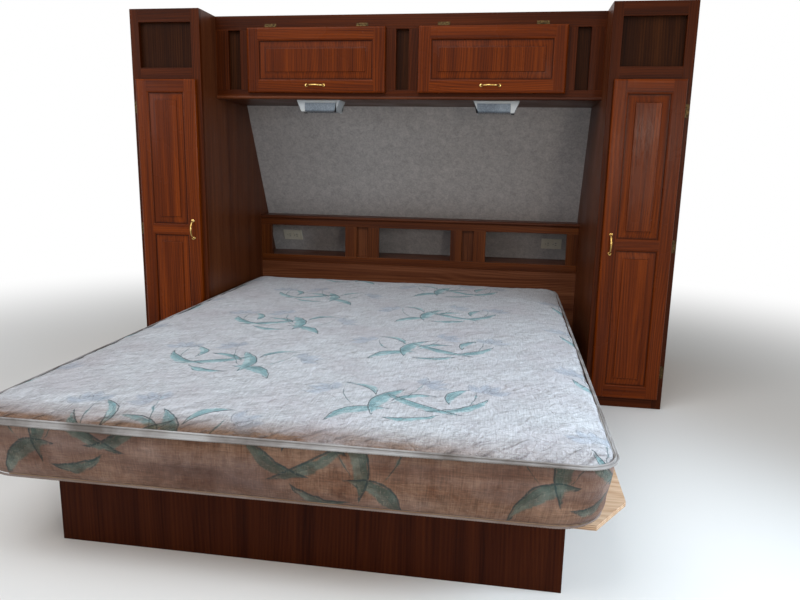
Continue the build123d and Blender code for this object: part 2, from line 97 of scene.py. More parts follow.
HEADBOARD_UPRIGHTS = ((-0.824, -0.768), (-0.366, -0.305), (-0.245, -0.187), (0.187, 0.245), (0.305, 0.366),
                      (0.768, 0.824))

# Wood and wall: how far apart bands, figure and dark layers are, and how deep the finish of a face goes
GROWTH_BANDS = 0.011
PLY_FIGURE = 0.045
PLY_LAYERS = 0.0048
STAIN_DEEP = 0.0005
PAPER_DEEP = 0.001
LINING_THICK = 0.005

# Edges sharper than so many degrees are drawn sharp
CRISP = 14
SOFT = 40
LENS_SOFT = 50
CUSHION_SOFT = 80

# Hardware
PULL_FOOT = 0.007
PULL_FOOT_SHAPE = ((0.007, 0.0), (0.007, 0.0011), (0.0063, 0.0021), (0.0047, 0.0029))
PULL_FOOT_TIP = 0.0031
PULL_WAIST = (0.0021, 0.0031)
PULL_FLARE = (0.0006, 0.0017)
PULL_STEPS = 32
SCREW_HEAD = 0.0029
SCREW_PROUD = 0.0008
SCREWS_ALONG = (0.22, 0.78)
LEAF_THICK = 0.0015
LEAF_MIDDLE = 0.0047

# Lamps
LAMP_EASE = 0.0018
LAMP_SHY = 0.0004
LAMP_SLANT = 0.0215
LENS_RIB = 0.0055
LENS_RIB_RADIUS = 0.0006
LENS_TOP = 0.012
LENS_ROUND = 0.010
ROCKER_EASE = 0.0012

# Outlets. Blocks: x and y of the middle, half width and half height, back and front, how far edges are eased
OUTLET_HEIGHT = 0.577
OUTLET_PLATE = (0.0, 0.0, 0.0525, 0.031, 0.0, 0.005, 0.0022)
OUTLET_SCREW = (0.0, 0.0, 0.0022, 0.0022, 0.0044, 0.0056, 0.0010)
SOCKET = (0.0, 0.0, 0.0165, 0.0135, 0.003, 0.0064, 0.0012)
SOCKET_SLOTS = ((0.003, -0.006, 0.004, 0.0012, 0.0058, 0.0066, 0.0001),
                (0.003, 0.006, 0.004, 0.0012, 0.0058, 0.0066, 0.0001),
                (-0.010, 0.0, 0.002, 0.002, 0.0058, 0.0066, 0.0009))
SOCKETS_AT = (-0.0195, 0.0195)

# Mattress. IN is how far a seam lies inside the solid, CAP and SPARE keep the blown skin within it.
THREAD = 0.0036
SLUB = 0.0024
COARSE = 0.018
UPPER_IN = 0.014
LOWER_IN = 0.027
UPPER_CORNER = 0.072
LOWER_CORNER = 0.112
BORDER_BULGE = 0.006
CROWN = 0.024
CROWN_START = 0.015
CROWN_REACH = 0.026
CROWN_SPARE = 0.002
SIDE_CAP = 0.008
BLOW_STEPS = 16
BORDER_PRINT = 0.075
SOIL_FROM = -0.930
SOIL_FULL = -1.0
SOIL_ENDS = (0.28, 0.60)
GATHERS = 0.07
EDGING_BROWN = (0.27, 0.31)

# Piping. The upper two cords draw together from left to right.
PIPE_RADIUS = 0.0024
PIPE_STEP = 0.010
PIPE_GAP = (0.0125, 0.0040)
PIPE_GAP_AT = (-0.3, 0.6)
PIPE_OUT = 0.001
SECOND_PIPE_OUT = 0.0065
TAPE_THICK = 0.0012
STITCH_GAP = 0.0060
STITCH_RADIUS = 0.0004
STITCH_DROP = 0.0029

# Puckers, slack, wrinkles and folds of the ticking: how high, how far apart, and from where to where
# they reach from a seam
PUCKER_TOP = 0.0034
PUCKER_SIDE = 0.0024
PUCKER_WAVE = 0.036
RIM_REACH = 0.045
RIM_START = 0.012
SEAM_REACH = 0.03
SEAM_START = 0.01
SLACK = 0.0030
WRINKLE = 0.0015
WRINKLE_TURN = 40.0
WRINKLE_WAVE = 0.030
FOLD = 0.0032
FOLD_WAVE = 0.035
FOLD_START = 0.02
PUSH_CAP = 0.0030

# The printed sprig, drawn for this piece (metres on the cloth).
# Leaf and stem: centre u, centre v, turn in degrees, half length, half width, bend.
TILE = (0.60, 0.50)
LEAVES = (
    (0.225, 0.225, 74, 0.100, 0.021, -0.24), (0.322, 0.196, -30, 0.112, 0.015, 0.16),
    (0.437, 0.196, 38, 0.092, 0.016, 0.36), (0.172, 0.142, 34, 0.082, 0.020, -0.32),
    (0.176, 0.318, 140, 0.062, 0.011, 0.42), (0.398, 0.292, 68, 0.060, 0.013, -0.34),
    (0.318, 0.108, 14, 0.066, 0.012, 0.30), (0.300, 0.262, 24, 0.058, 0.012, -0.26),
)
STEMS = (
    (0.285, 0.255, 66, 0.130, 0.0022, 0.18), (0.130, 0.235, 112, 0.085, 0.0022, -0.20),
    (0.455, 0.270, 82, 0.085, 0.0022, 0.16),
)
# Blossom: u and v of its base, turn in degrees. Each has petals of one size, fanned out to both sides.
BLOSSOMS = ((0.088, 0.268, 150), (0.318, 0.352, 40), (0.478, 0.318, 74))
PETAL = (0.036, 0.0160)
PETAL_FAN = ((-64, 0.30), (-22, 0.24), (14, -0.10), (58, -0.30))

# The ticking's two looks. Shares are how much of a colour is laid on. The border's colours are painted shade:
# the top's cloth made darker and browner.
# In both looks, dust is the tint of the painted shade laid in the hollows
TOP_CLOTH = SimpleNamespace(
    sprigs=(0.5, BLOSSOMS, 0.0026), strength=1.0, ground="d8d9dc", thread=0.56, slub="e6e8ec", slub_share=0.4,
    blush="b4acb0", blush_share=0.5, blush_cycles=(4.0, 4.0, 1.0), petal_share=0.60,
    greens=("4c8488", "79abaf", "a6c6c8"), shade="417b80", dust="b0aaaa", soil="a27d62", depth=0.0040)
SHADED_BORDER_CLOTH = SimpleNamespace(
    sprigs=(0.06, BLOSSOMS[:1], 0.0036), strength=0.95, ground="a07e68", thread=0.48, slub="c9b3a2",
    slub_share=0.22, blush="87797a", blush_share=0.7, blush_cycles=(1.6, 6.0, 1.0), petal_share=0.25,
    greens=("35504a", "52706a", "758c84"), shade="2f4a44", dust="a88670", soil="a07d62", depth=0.0022)

# Lights: name, place, what it is turned to, width and height, watts, tint, spread in degrees
LIGHTS = (
    ("overhead", (-0.7, -2.0, 3.3), (0.1, -0.1, 0.5), (2.6, 2.2), 62.0, "fbfcff", 180.0),
    ("left_fill", (-3.4, -2.6, 1.9), (0.6, 0.1, 0.7), (1.8, 1.6), 20.0, "f4f8ff", 180.0),
    ("right_window", (2.35, -1.15, 1.25), (0.1, -1.0, 0.4), (1.0, 0.7), 16.5, "daeeff", 90.0),
    ("right_strip", (1.60, -3.3, 1.20), (0.96, -0.3, 1.05), (0.34, 0.9), 13.0, "fff6ea", 180.0),
)
FLOOR_REACH = 16.0
FLOOR_LEVEL = -0.0005
FLOOR_FADE = (1.7, 4.2)


def srgb(code):
    """A hex colour as the linear values that shaders take."""
    shares = [int(code[i:i + 2], 16) / 255 for i in (0, 2, 4)]
    return [v / 12.92 if v <= 0.04045 else ((v + 0.055) / 1.055) ** 2.4 for v in shares] + [1.0]


def darker(code, share):
    """A hex colour's linear values, darkened to a share of themselves."""
    return [v * share for v in srgb(code)[:3]] + [1.0]


def put(tree, kind, *values, given=None, stops=(), out=0, **settings):
    """Adds a node and returns one of its outputs, or the node where it has none.

    A maths node's operation stands after a dot in its kind. values fill the first inputs in order,
    given fills others by name or number; each is a number, a vector, another node's output, or a
    list of outputs. A colour may be hex. stops are the places and hex colours of a ramp, and out is
    the output wanted, None for them all."""
    kind, _, operation = kind.partition(".")
    made = tree.nodes.new(kind)
    if operation:
        made.operation = operation
    for name, value in settings.items():
        setattr(made, name, value)
    for key, value in {**dict(enumerate(values)), **(given or {})}.items():
        if isinstance(value, str) and made.inputs[key].type == "RGBA":
            value = srgb(value)
        if isinstance(value, bpy.types.NodeSocket):
            value = [value]
        if isinstance(value, list) and isinstance(value[0], bpy.types.NodeSocket):
            for source in value:
                tree.links.new(source, made.inputs[key])
        else:
            made.inputs[key].default_value = value
    for number, (place, colour) in enumerate(stops):
        ramp = made.color_ramp.elements
        element = ramp[number] if number < 2 else ramp.new(place)
        element.position = place
        element.color = srgb(colour)
    if not len(made.outputs):
        return made
    return made.outputs if out is None else made.outputs[out]


def emptied(owner):
    """The node tree of a material or a world, emptied."""
    owner.use_nodes = True
    owner.node_tree.nodes.clear()
    return owner.node_tree


def finish_from(name, draw, *details, **more):
    """A new material. draw(tree, ...) gives its colour, its roughness, its relief as the height, strength
    and depth of a bump, and other sockets of its Principled shader."""
    finish = bpy.data.materials.new(name)
    tree = emptied(finish)
    colour, rough, (height, strength, depth), others = draw(tree, *details, **more)
    bump = put(tree, "ShaderNodeBump", given={"Height": height, "Strength": strength, "Distance": depth})
    sockets = {"Base Color": colour, "Roughness": rough, "Normal": bump, **others}
    put(tree, "ShaderNodeOutputMaterial", put(tree, "ShaderNodeBsdfPrincipled", given=sockets))
    return finish


def noisy(scale, detail, rough=0.5, twist=0.0):
    """Settings of a noise: how often it changes in a metre, and how finely, roughly and bent it does."""
    return {"Scale": scale, "Detail": detail, "Roughness": rough, "Distortion": twist}


def in_turn(tree, operation, *values):
    """Several patterns or numbers put through one maths operation, one after the other."""
    return reduce(lambda first, second: put(tree, operation, first, second), values)


def streaks(tree, where, cycles, detail=3.0, rough=0.55, twist=0.0):
    """Noise drawn out along an axis: cycles are how often it changes in a metre along each."""
    drawn = put(tree, VECTOR + "MULTIPLY", where, cycles)
    return put(tree, NOISE, drawn, given=noisy(1.0, detail, rough, twist))


def grain_place(tree, along):
    """Coordinates whose X runs along the grain: a board's own, or the object's turned to the grain."""
    if along == "board":
        return put(tree, "ShaderNodeAttribute", out="Vector", attribute_name="grain")
    where = put(tree, PLACE, out="Object")
    if along == "x":
        return where
    apart = put(tree, APART, where, out=None)
    return put(tree, TOGETHER, apart[2], apart[0], apart[1])


# Oak face frames, doors and panels, stained and sprayed with satin varnish. The eye gets soft growth
# bands about 11 mm apart, fine streaks, short dark pores and a smooth coat with a broad, dull gleam.
def stained_oak(tree, dark, middle, light, along, gloss=0.34, pore=1.0, gleam=0.14, bare_beyond=0.0):
    """Oak under stain and varnish. Beyond bare_beyond on either side it is unfinished plywood."""
    where = grain_place(tree, along)
    apart = put(tree, APART, where, out=None)
    bend = streaks(tree, where, (0.7, 4.0, 4.0), 2.0)
    wide = streaks(tree, where, (0.7, 24.0, 24.0), 3.0, 0.6)
    fine = streaks(tree, where, (2.2, 190.0, 190.0), 3.0, 0.65)
    phase = put(tree, MULTIPLY_ADD, bend, 0.16, put(tree, MATH + "ADD", apart[1], apart[2]))
    wave = put(tree, SINE, put(tree, MULTIPLY, phase, 2 * pi / GROWTH_BANDS))
    bands = put(tree, MULTIPLY_ADD, wave, 0.5, 0.5)
    figure = put(tree, MULTIPLY, bands, put(tree, REMAP, bend, 0.40, 0.62, 0.02, 0.11))
    mixed = put(tree, MULTIPLY_ADD, wide, 0.50, figure)
    mixed = put(tree, MULTIPLY_ADD, fine, 0.42, mixed)
    colour = put(tree, RAMP, mixed, stops=((0.33, dark), (0.48, middle), (0.66, light)))
    # Pores are 0.3 mm wide, drawn 1 mm wide so that they show, and lie in the early wood
    pores = put(tree, REMAP, streaks(tree, where, (22.0, 700.0, 700.0), 2.0), 0.57, 0.70, 0.0, 1.0)
    early = put(tree, REMAP, bands, 0.2, 0.9, 1.0, 0.35)
    share = in_turn(tree, MULTIPLY, pores, early, 0.45 * pore)
    colour = put(tree, MIX, given={0: share, 6: colour, 7: darker(dark, 0.45)}, **BLEND)
    if along == "board":
        tone, worn = (put(tree, "ShaderNodeAttribute", out="Fac", attribute_name=name)
                      for name in ("tone", "worn"))
        value = put(tree, MULTIPLY_ADD, tone, 0.11, 1.0)
        colour = put(tree, "ShaderNodeHueSaturation", given={"Value": value, "Color": colour})
        rubbed = put(tree, MULTIPLY, put(tree, MAXIMUM, worn, 0.0), wide)
        glazed = put(tree, MULTIPLY, put(tree, MATH + "MINIMUM", worn, 0.0), -0.62)
        for share, over in ((rubbed, light), (glazed, darker(dark, 0.35))):
            colour = put(tree, MIX, given={0: share, 6: colour, 7: over}, **BLEND)
    haze = put(tree, NOISE, where, given=noisy(4.0, 4.0))
    rough = put(tree, REMAP, haze, 0.3, 0.7, gloss - 0.05, gloss + 0.10)
    if bare_beyond:
        sideways = put(tree, APART, put(tree, PLACE, out="Object"), out=None)[0]
        bare = put(tree, MATH + "GREATER_THAN", put(tree, ABSOLUTE, sideways), bare_beyond)
        raw = put(tree, RAMP, mixed, stops=((0.36, "8b6648"), (0.68, "b8946e")))
        colour = put(tree, MIX, given={0: bare, 6: colour, 7: raw}, **BLEND)
        rough = put(tree, MULTIPLY_ADD, bare, 0.35, rough)
    relief = put(tree, SUBTRACT, put(tree, MULTIPLY, fine, 0.5), pores)
    return colour, rough, (relief, 0.2, 0.0004), {"IOR": 1.5, "Specular IOR Level": gleam}


# Vinyl wallpaper printed with a stone-like mottle, glued to 5 mm luan plywood. The eye gets soft blotches
# of 10 to 40 mm, a fine leathery net of creases and a low sheen; the back is bare brown plywood.
def lining(tree, facing, back_from):
    """Wallpaper on plywood. facing points to the back, and the back begins at back_from along it."""
    where = put(tree, PLACE, out="Object")
    cloud = put(tree, NOISE, where, given=noisy(32.0, 5.0, 0.66, 0.7))
    speck = put(tree, NOISE, where, given=noisy(120.0, 4.0, 0.6, 0.5))
    net = put(tree, "ShaderNodeTexVoronoi", where, given={"Scale": 120.0}, feature="DISTANCE_TO_EDGE")
    net = put(tree, REMAP, net, 0.0, 0.10, 1.0, 0.0)
    mottle = put(tree, MULTIPLY_ADD, speck, 0.5, put(tree, MULTIPLY, cloud, 0.5))
    front = put(tree, RAMP, mottle, stops=((0.36, "9a9592"), (0.50, "aea8a4"), (0.64, "bfb9b4")))
    front = put(tree, MIX, given={0: put(tree, MULTIPLY, net, 0.14), 6: front, 7: "8d8a89"}, **BLEND)
    climb = put(tree, VECTOR + "DOT_PRODUCT", where, (0.0, -facing[2], facing[1]), out="Value")
    across = put(tree, TOGETHER, put(tree, APART, where, out=None)[0], climb)
    grain = streaks(tree, across, (55.0, 2.5, 1.0), 4.0, 0.6)
    figure = streaks(tree, across, (7.0, 0.9, 1.0), 2.0, 0.5, 0.8)
    grain = put(tree, MULTIPLY_ADD, figure, 0.5, put(tree, MULTIPLY, grain, 0.5))
    ply = put(tree, RAMP, grain, stops=((0.36, "9a7453"), (0.50, "b08a66"), (0.64, "c4a27d")))
    reach = put(tree, VECTOR + "DOT_PRODUCT", where, facing, out="Value")
    behind = put(tree, MATH + "GREATER_THAN", reach, back_from)
    colour = put(tree, MIX, given={0: behind, 6: front, 7: ply}, **BLEND)
    rough = put(tree, MULTIPLY_ADD, behind, 0.28, 0.5)
    relief = put(tree, MULTIPLY_ADD, net, -0.6, speck)
    return colour, rough, (relief, 0.3, 0.0006), {"IOR": 1.48, "Specular IOR Level": 0.4}


# Unfinished softwood plywood. The eye gets a pale, matt, rotary-cut face with broad wavy figure, soil
# from handling, and dark and light layers 2.4 mm thick on every sawn edge.
def raw_plywood(tree, dark, light, along, layer_axis):
    """Bare plywood whose layers are stacked along layer_axis (0, 1 or 2)."""
    where = grain_place(tree, along)
    apart = put(tree, APART, where, out=None)
    bend = streaks(tree, where, (1.6, 6.0, 6.0), 3.0, 0.6)
    phase = put(tree, MULTIPLY_ADD, bend, 0.35, apart[1])
    bands = put(tree, SINE, put(tree, MULTIPLY, phase, 2 * pi / PLY_FIGURE))
    fine = streaks(tree, where, (9.0, 240.0, 240.0), 3.0, 0.6)
    mixed = put(tree, MULTIPLY_ADD, bands, 0.07, put(tree, MULTIPLY_ADD, fine, 0.7, 0.15))
    colour = put(tree, RAMP, mixed, stops=((0.35, dark), (0.66, light)))
    grime = put(tree, NOISE, where, given=noisy(4.0, 4.0))
    soil = put(tree, REMAP, grime, 0.5, 0.75, 0.0, 0.4)
    geometry = put(tree, "ShaderNodeNewGeometry", out="True Normal")
    facing = put(tree, ABSOLUTE, put(tree, APART, geometry, out=None)[layer_axis])
    edge = put(tree, MATH + "LESS_THAN", facing, 0.7)
    place = put(tree, APART, put(tree, PLACE, out="Object"), out=None)[layer_axis]
    layer = put(tree, SINE, put(tree, MULTIPLY, place, 2 * pi / PLY_LAYERS))
    layers = put(tree, MULTIPLY, edge, put(tree, REMAP, layer, -0.2, 0.4, 0.0, 0.6))
    for share, over in ((soil, "94785a"), (layers, "6d4a2e")):
        colour = put(tree, MIX, given={0: share, 6: colour, 7: over}, **BLEND)
    return colour, 0.74, (fine, 0.25, 0.0005), {"IOR": 1.45, "Specular IOR Level": 0.4}


# Cast brass, plated and lacquered. The eye gets a warm mirror, softened where hands have dulled it; the
# hinges are the same metal darkened to an old bronze that is bright only where it has rubbed.
def brass(tree, dull, bright, shine):
    """Brass between a dull and a bright colour, at a roughness of shine where it is bright."""
    where = put(tree, PLACE, out="Object")
    spots = put(tree, NOISE, where, given=noisy(110.0, 4.0, 0.6))
    colour = put(tree, RAMP, spots, stops=((0.38, dull), (0.62, bright)))
    rough = put(tree, REMAP, spots, 0.3, 0.7, shine + 0.16, shine)
    return colour, rough, (spots, 0.08, 0.0003), {"Metallic": 1.0}


# Zinc-plated steel tube and strap. The eye gets cool grey metal, softly drawn along its length, with
# cloudy patches in the plating.
def zinc_steel(tree):
    """Plated steel whose draw lines run along X."""
    where = put(tree, PLACE, out="Object")
    drawn = streaks(tree, where, (25.0, 800.0, 800.0), 3.0, 0.6)
    cloud = put(tree, NOISE, where, given=noisy(60.0, 3.0))
    mixed = put(tree, MULTIPLY_ADD, cloud, 0.5, put(tree, MULTIPLY, drawn, 0.5))
    colour = put(tree, RAMP, mixed, stops=((0.35, "858685"), (0.65, "bcbdbb")))
    rough = put(tree, REMAP, mixed, 0.3, 0.7, 0.26, 0.42)
    return colour, rough, (drawn, 0.1, 0.0002), {"Metallic": 1.0}


# ABS and urea plastic, injection moulded. The eye gets an even colour, patches that have yellowed, and
# a faint spark-eroded skin.
def moulded(tree, shade, aged, gloss):
    """Moulded plastic of one shade, aged in patches."""
    where = put(tree, PLACE, out="Object")
    patch = put(tree, NOISE, where, given=noisy(22.0, 3.0))
    share = put(tree, REMAP, patch, 0.40, 0.70, 0.0, 0.2)
    colour = put(tree, MIX, given={0: share, 6: shade, 7: aged}, **BLEND)
    skin = put(tree, NOISE, where, given=noisy(900.0, 2.0))
    rough = put(tree, MULTIPLY_ADD, patch, 0.12, gloss)
    return colour, rough, (skin, 0.12, 0.0002), {"IOR": 1.49}


# Extruded acrylic, unlit. The eye gets a milky blue-grey body with a clear, glossy skin and dust in it.
def acrylic(tree):
    """The lamps' lens."""
    where = put(tree, PLACE, out="Object")
    cloud = put(tree, NOISE, where, given=noisy(16.0, 2.0))
    colour = put(tree, RAMP, cloud, stops=((0.35, "6a737c"), (0.65, "848d95")))
    dust = put(tree, NOISE, where, given=noisy(260.0, 3.0))
    rough = put(tree, REMAP, dust, 0.4, 0.7, 0.20, 0.34)
    return colour, rough, (dust, 0.05, 0.0002), {"IOR": 1.49, "Transmission Weight": 0.12}


def bent_lens(tree, u, v, shape):
    """How far a point lies inside a bent, pointed lens (metres), and how far to one side of its middle."""
    centre_u, centre_v, turn, half_long, half_wide, bend = shape
    turn = radians(turn)
    du = put(tree, SUBTRACT, u, centre_u)
    dv = put(tree, SUBTRACT, v, centre_v)
    along = put(tree, MULTIPLY, du, cos(turn) / half_long)
    along = put(tree, MULTIPLY_ADD, dv, sin(turn) / half_long, along)
    side = put(tree, MULTIPLY_ADD, dv, cos(turn), put(tree, MULTIPLY, du, -sin(turn)))
    square = put(tree, MULTIPLY, along, along)
    side = put(tree, MULTIPLY_ADD, square, -bend * half_long, side)
    edge = put(tree, MULTIPLY_ADD, square, -half_wide, half_wide)
    return put(tree, SUBTRACT, edge, put(tree, ABSOLUTE, side)), side


def printed_sprigs(tree, cloth, drop, blossoms, pen_wide):
    """The print: shares of leaf, of a leaf's shaded half, of ink line and of petal at each point."""
    apart = put(tree, APART, cloth, out=None)
    # Every other column is mirrored, and lower by a share of the tile
    column = put(tree, MATH + "DIVIDE", apart[0], TILE[0])
    odd = put(tree, MATH + "FLOORED_MODULO", put(tree, MATH + "FLOOR", column), 2.0)
    row = put(tree, MULTIPLY_ADD, odd, drop, put(tree, MATH + "DIVIDE", apart[1], TILE[1]))
    u, v = (put(tree, MATH + "FRACT", cell) for cell in (column, row))
    u = put(tree, MIX, given={0: odd, 2: u, 3: put(tree, SUBTRACT, 1.0, u)}, data_type="FLOAT")
    ragged = put(tree, NOISE, cloth, given=noisy(30.0, 3.0))
    u = put(tree, MULTIPLY_ADD, ragged, 0.010, put(tree, MULTIPLY, u, TILE[0]))
    v = put(tree, MULTIPLY_ADD, ragged, -0.010, put(tree, MULTIPLY, v, TILE[1]))
    loose = put(tree, NOISE, cloth, given=noisy(24.0, 3.0, 0.6))
    pen = put(tree, NOISE, cloth, given=noisy(34.0, 2.0))
    pressed = put(tree, REMAP, pen, 0.42, 0.56, 0.0, 1.0)
    sketched = put(tree, REMAP, pen, 0.44, 0.58, 0.0, 1.0)
    leaves, shades, inks, petals = [], [], [], []
    for shape in LEAVES + STEMS:
        inside, side = bent_lens(tree, u, v, shape)
        # The wash runs over its outline here and stops short of it there
        spread = put(tree, MULTIPLY_ADD, loose, 0.022, put(tree, SUBTRACT, inside, 0.012))
        body = put(tree, REMAP, spread, -0.0016, 0.0030, 0.0, 1.0)
        leaves.append(body)
        if shape in STEMS:
            inks.append(put(tree, REMAP, inside, 0.0, 0.0012, 0.0, 0.7))
            continue
        shades.append(put(tree, MULTIPLY, body, put(tree, REMAP, side, -0.002, 0.004, 0.0, 1.0)))
        # The pen line is strong on one edge, broken on the other and faint down the middle
        line = put(tree, REMAP, put(tree, ABSOLUTE, inside), 0.4 * pen_wide, pen_wide, 1.0, 0.0)
        broken = put(tree, REMAP, put(tree, MULTIPLY_ADD, pen, 0.05, side), 0.017, 0.023, 0.0, 1.0)
        rib = put(tree, REMAP, put(tree, ABSOLUTE, side), 0.0004, 0.0016, 0.5, 0.0)
        within = put(tree, MULTIPLY, put(tree, MATH + "GREATER_THAN", inside, 0.004), rib)
        inks += [put(tree, MULTIPLY, line, broken), put(tree, MULTIPLY, within, pressed)]
    for base_u, base_v, turn in blossoms:
        for fan, bend in PETAL_FAN:
            aim = radians(turn + fan)
            centre = (base_u + PETAL[0] * cos(aim), base_v + PETAL[0] * sin(aim))
            inside, _ = bent_lens(tree, u, v, (*centre, turn + fan, *PETAL, bend))
            petals.append(put(tree, REMAP, inside, -0.006, 0.009, 0.0, 1.0))
            line = put(tree, REMAP, put(tree, ABSOLUTE, inside), 0.0006, 0.0020, 0.50, 0.0)
            inks.append(put(tree, MULTIPLY, line, sketched))
    return [in_turn(tree, MAXIMUM, *patterns) for patterns in (leaves, shades, inks, petals)]


def quilted_top(tree, cloth, wash, patches, relief):
    """What the top adds to the weave's relief, with painted shade for its hollows and gathers, and its soil.
    """
    apart = put(tree, APART, cloth, out=None)
    at_foot = put(tree, REMAP, apart[1], SOIL_FROM, SOIL_FULL, 0.0, 1.0)
    drift = put(tree, REMAP, streaks(tree, cloth, (3.0, 16.0, 1.0), 4.0, 0.62), 0.28, 0.50, 0.35, 1.0)
    ends = put(tree, REMAP, apart[0], *SOIL_ENDS, 1.0, 0.2)
    brown = in_turn(tree, MULTIPLY, put(tree, MATH + "POWER", at_foot, 1.2), drift, ends)
    soil = put(tree, MAXIMUM, put(tree, REMAP, patches, 0.60, 0.80, 0.0, 0.25), brown)
    # Gathers lean away from the foot's seam, about as long as they are apart
    lean = put(tree, MULTIPLY_ADD, apart[1], -1.5, apart[0])
    lean = put(tree, MULTIPLY_ADD, wash, 0.05, lean)
    wave = put(tree, ABSOLUTE, put(tree, SINE, put(tree, MULTIPLY, lean, pi / GATHERS)))
    here = put(tree, REMAP, wash, 0.42, 0.56, 0.1, 1.0)
    gather = in_turn(tree, MULTIPLY, put(tree, REMAP, wave, 0.0, 0.5, 1.0, 0.0), at_foot, here)
    turned = put(tree, "ShaderNodeVectorRotate", cloth, given={"Angle": radians(-WRINKLE_TURN)},
                 rotation_type="Z_AXIS")
    wrinkle = streaks(tree, turned, (14.0, 40.0, 1.0), 4.0, 0.66, 1.2)
    crease = streaks(tree, turned, (2.6, 12.0, 1.0), 2.0, 0.45, 0.4)
    meander = put(tree, NOISE, cloth, given=noisy(9.0, 1.0, 0.4, 0.5))
    # Ridges, long creases and stitched lines run where a noise passes through its middle value
    ridge, crease, stitched = (
        put(tree, REMAP, put(tree, ABSOLUTE, put(tree, SUBTRACT, noise, 0.5)), 0.0, wide, on, off)
        for noise, wide, on, off in (
            (wrinkle, 0.06, 1.0, 0.0), (crease, 0.03, 1.0, 0.0), (meander, 0.035, 0.0, 1.0)))
    crease = put(tree, MULTIPLY, crease, put(tree, REMAP, wash, 0.46, 0.58, 0.0, 1.0))
    crinkle = put(tree, NOISE, cloth, given=noisy(46.0, 4.0, 0.66, 1.6))
    relief = put(tree, MULTIPLY, relief, 0.55)
    for height, share in ((wrinkle, 2.1), (crinkle, 1.5), (ridge, 0.34), (stitched, 0.42), (crease, 0.75),
                          (gather, 1.3)):
        relief = put(tree, MULTIPLY_ADD, height, share, relief)
    # Painted shade: the hollows between the wrinkles, and the gathers, are darkened
    low = put(tree, MULTIPLY_ADD, wrinkle, 0.6, put(tree, MULTIPLY, crinkle, 0.4))
    hollow_shade = put(tree, MAXIMUM, put(tree, REMAP, low, 0.38, 0.49, 0.42, 0.0), gather)
    return relief, hollow_shade, soil


def folded_border(tree, cloth, wash, patches, relief):
    """What the border adds to the weave's relief, with painted shade in its hollows and its soil: folds that
    run along it.
    """
    fold = streaks(tree, cloth, (1.8, 13.0, 1.0), 1.5, 0.5, 0.3)
    relief = put(tree, MULTIPLY_ADD, fold, 8.0, relief)
    # Painted shade: the hollows between the folds are darkened
    hollow_shade = put(tree, REMAP, fold, 0.34, 0.52, 0.6, 0.0)
    return relief, hollow_shade, put(tree, REMAP, patches, 0.36, 0.66, 0.0, 0.9)


# Woven cotton-blend mattress ticking, printed with a loose leafy sprig and quilted. The eye gets a
# slubby plain weave, watery green leaves with broken pen lines, meandering stitched lines that pull
# small wrinkles after them, and soil and tea-brown stains towards the foot.
def ticking(tree, look, worked):
    """Printed ticking in one of its two looks. worked adds the folds of that side of the mattress."""
    cloth = put(tree, "ShaderNodeUVMap", uv_map="flat")
    wash = put(tree, NOISE, cloth, given=noisy(15.0, 4.0, 0.62))
    leaf, shade, ink, petal = printed_sprigs(tree, cloth, *look.sprigs)
    # Threads are 0.5 mm apart, drawn 3.6 mm apart so that they show
    warp = streaks(tree, cloth, (1 / THREAD, 22.0, 1.0), 2.0)
    weft = streaks(tree, cloth, (22.0, 1 / THREAD, 1.0), 2.0)
    weave = put(tree, MULTIPLY, put(tree, MATH + "ADD", warp, weft), 0.5)
    contrast = put(tree, REMAP, weave, 0.34, 0.64, 0.0, 1.0)
    slub_up = streaks(tree, cloth, (1 / SLUB, 70.0, 1.0), 1.0)
    slub_across = streaks(tree, cloth, (70.0, 1 / SLUB, 3.0), 1.0)
    slub = put(tree, REMAP, put(tree, MAXIMUM, slub_up, slub_across), 0.62, 0.74, 0.0, look.slub_share)
    blush = put(tree, REMAP, streaks(tree, cloth, look.blush_cycles), 0.42, 0.66, 0.0, look.blush_share)
    taken = put(tree, MULTIPLY_ADD, contrast, 0.3, 0.7)
    petals = put(tree, RAMP, wash, stops=((0.38, "8494a8"), (0.62, "aab4c2")))
    greens = put(tree, RAMP, wash, stops=tuple(zip((0.38, 0.50, 0.62), look.greens)))
    patches = put(tree, NOISE, cloth, given=noisy(5.5, 5.0, 0.68, 0.4))
    relief = put(tree, MULTIPLY_ADD, slub, 0.5, weave)
    relief, hollow_shade, soil = worked(tree, cloth, wash, patches, relief)
    print_layers = [(in_turn(tree, MULTIPLY, *shares), over) for *shares, over in (
        (petal, taken, look.petal_share, petals), (leaf, taken, 0.85 * look.strength, greens),
        (shade, 0.42 * look.strength, look.shade), (ink, 0.85 * look.strength, "2b4245"))]
    colour = darker(look.ground, look.thread)
    for share, over in ((contrast, look.ground), (blush, look.blush), *print_layers, (slub, look.slub)):
        colour = put(tree, MIX, given={0: share, 6: colour, 7: over}, **BLEND)
    # Painted shade darkens the hollows in the look's dust colour, and soil browns the cloth
    for share, over in ((hollow_shade, look.dust), (soil, look.soil)):
        colour = put(tree, MIX, given={0: share, 6: colour, 7: over}, blend_type="MULTIPLY", **BLEND)
    sheen = {"IOR": 1.45, "Specular IOR Level": 0.3, "Sheen Weight": 0.12, "Sheen Roughness": 0.5}
    return colour, 0.88, (relief, 0.95, look.depth), sheen


# Woven cotton edging, once white. The eye gets fine ribs across it and grey patches where it was handled.
def edging(tree):
    """The mattress's piping with its stitches, and the tape at its upper rim."""
    where = put(tree, PLACE, out="Object")
    soil = put(tree, NOISE, where, given=noisy(9.0, 4.0))
    colour = put(tree, RAMP, soil, stops=((0.36, "6e6762"), (0.50, "908b88"), (0.66, "aba8a6")))
    height = put(tree, APART, where, out=None)[2]
    low = put(tree, REMAP, height, *EDGING_BROWN, 0.65, 0.0)
    colour = put(tree, MIX, given={0: low, 6: colour, 7: "7d665a"}, **BLEND)
    ribs = put(tree, NOISE, where, given=noisy(420.0, 2.0))
    return colour, 0.88, (ribs, 0.4, 0.0008), {"IOR": 1.45, "Specular IOR Level": 0.3}


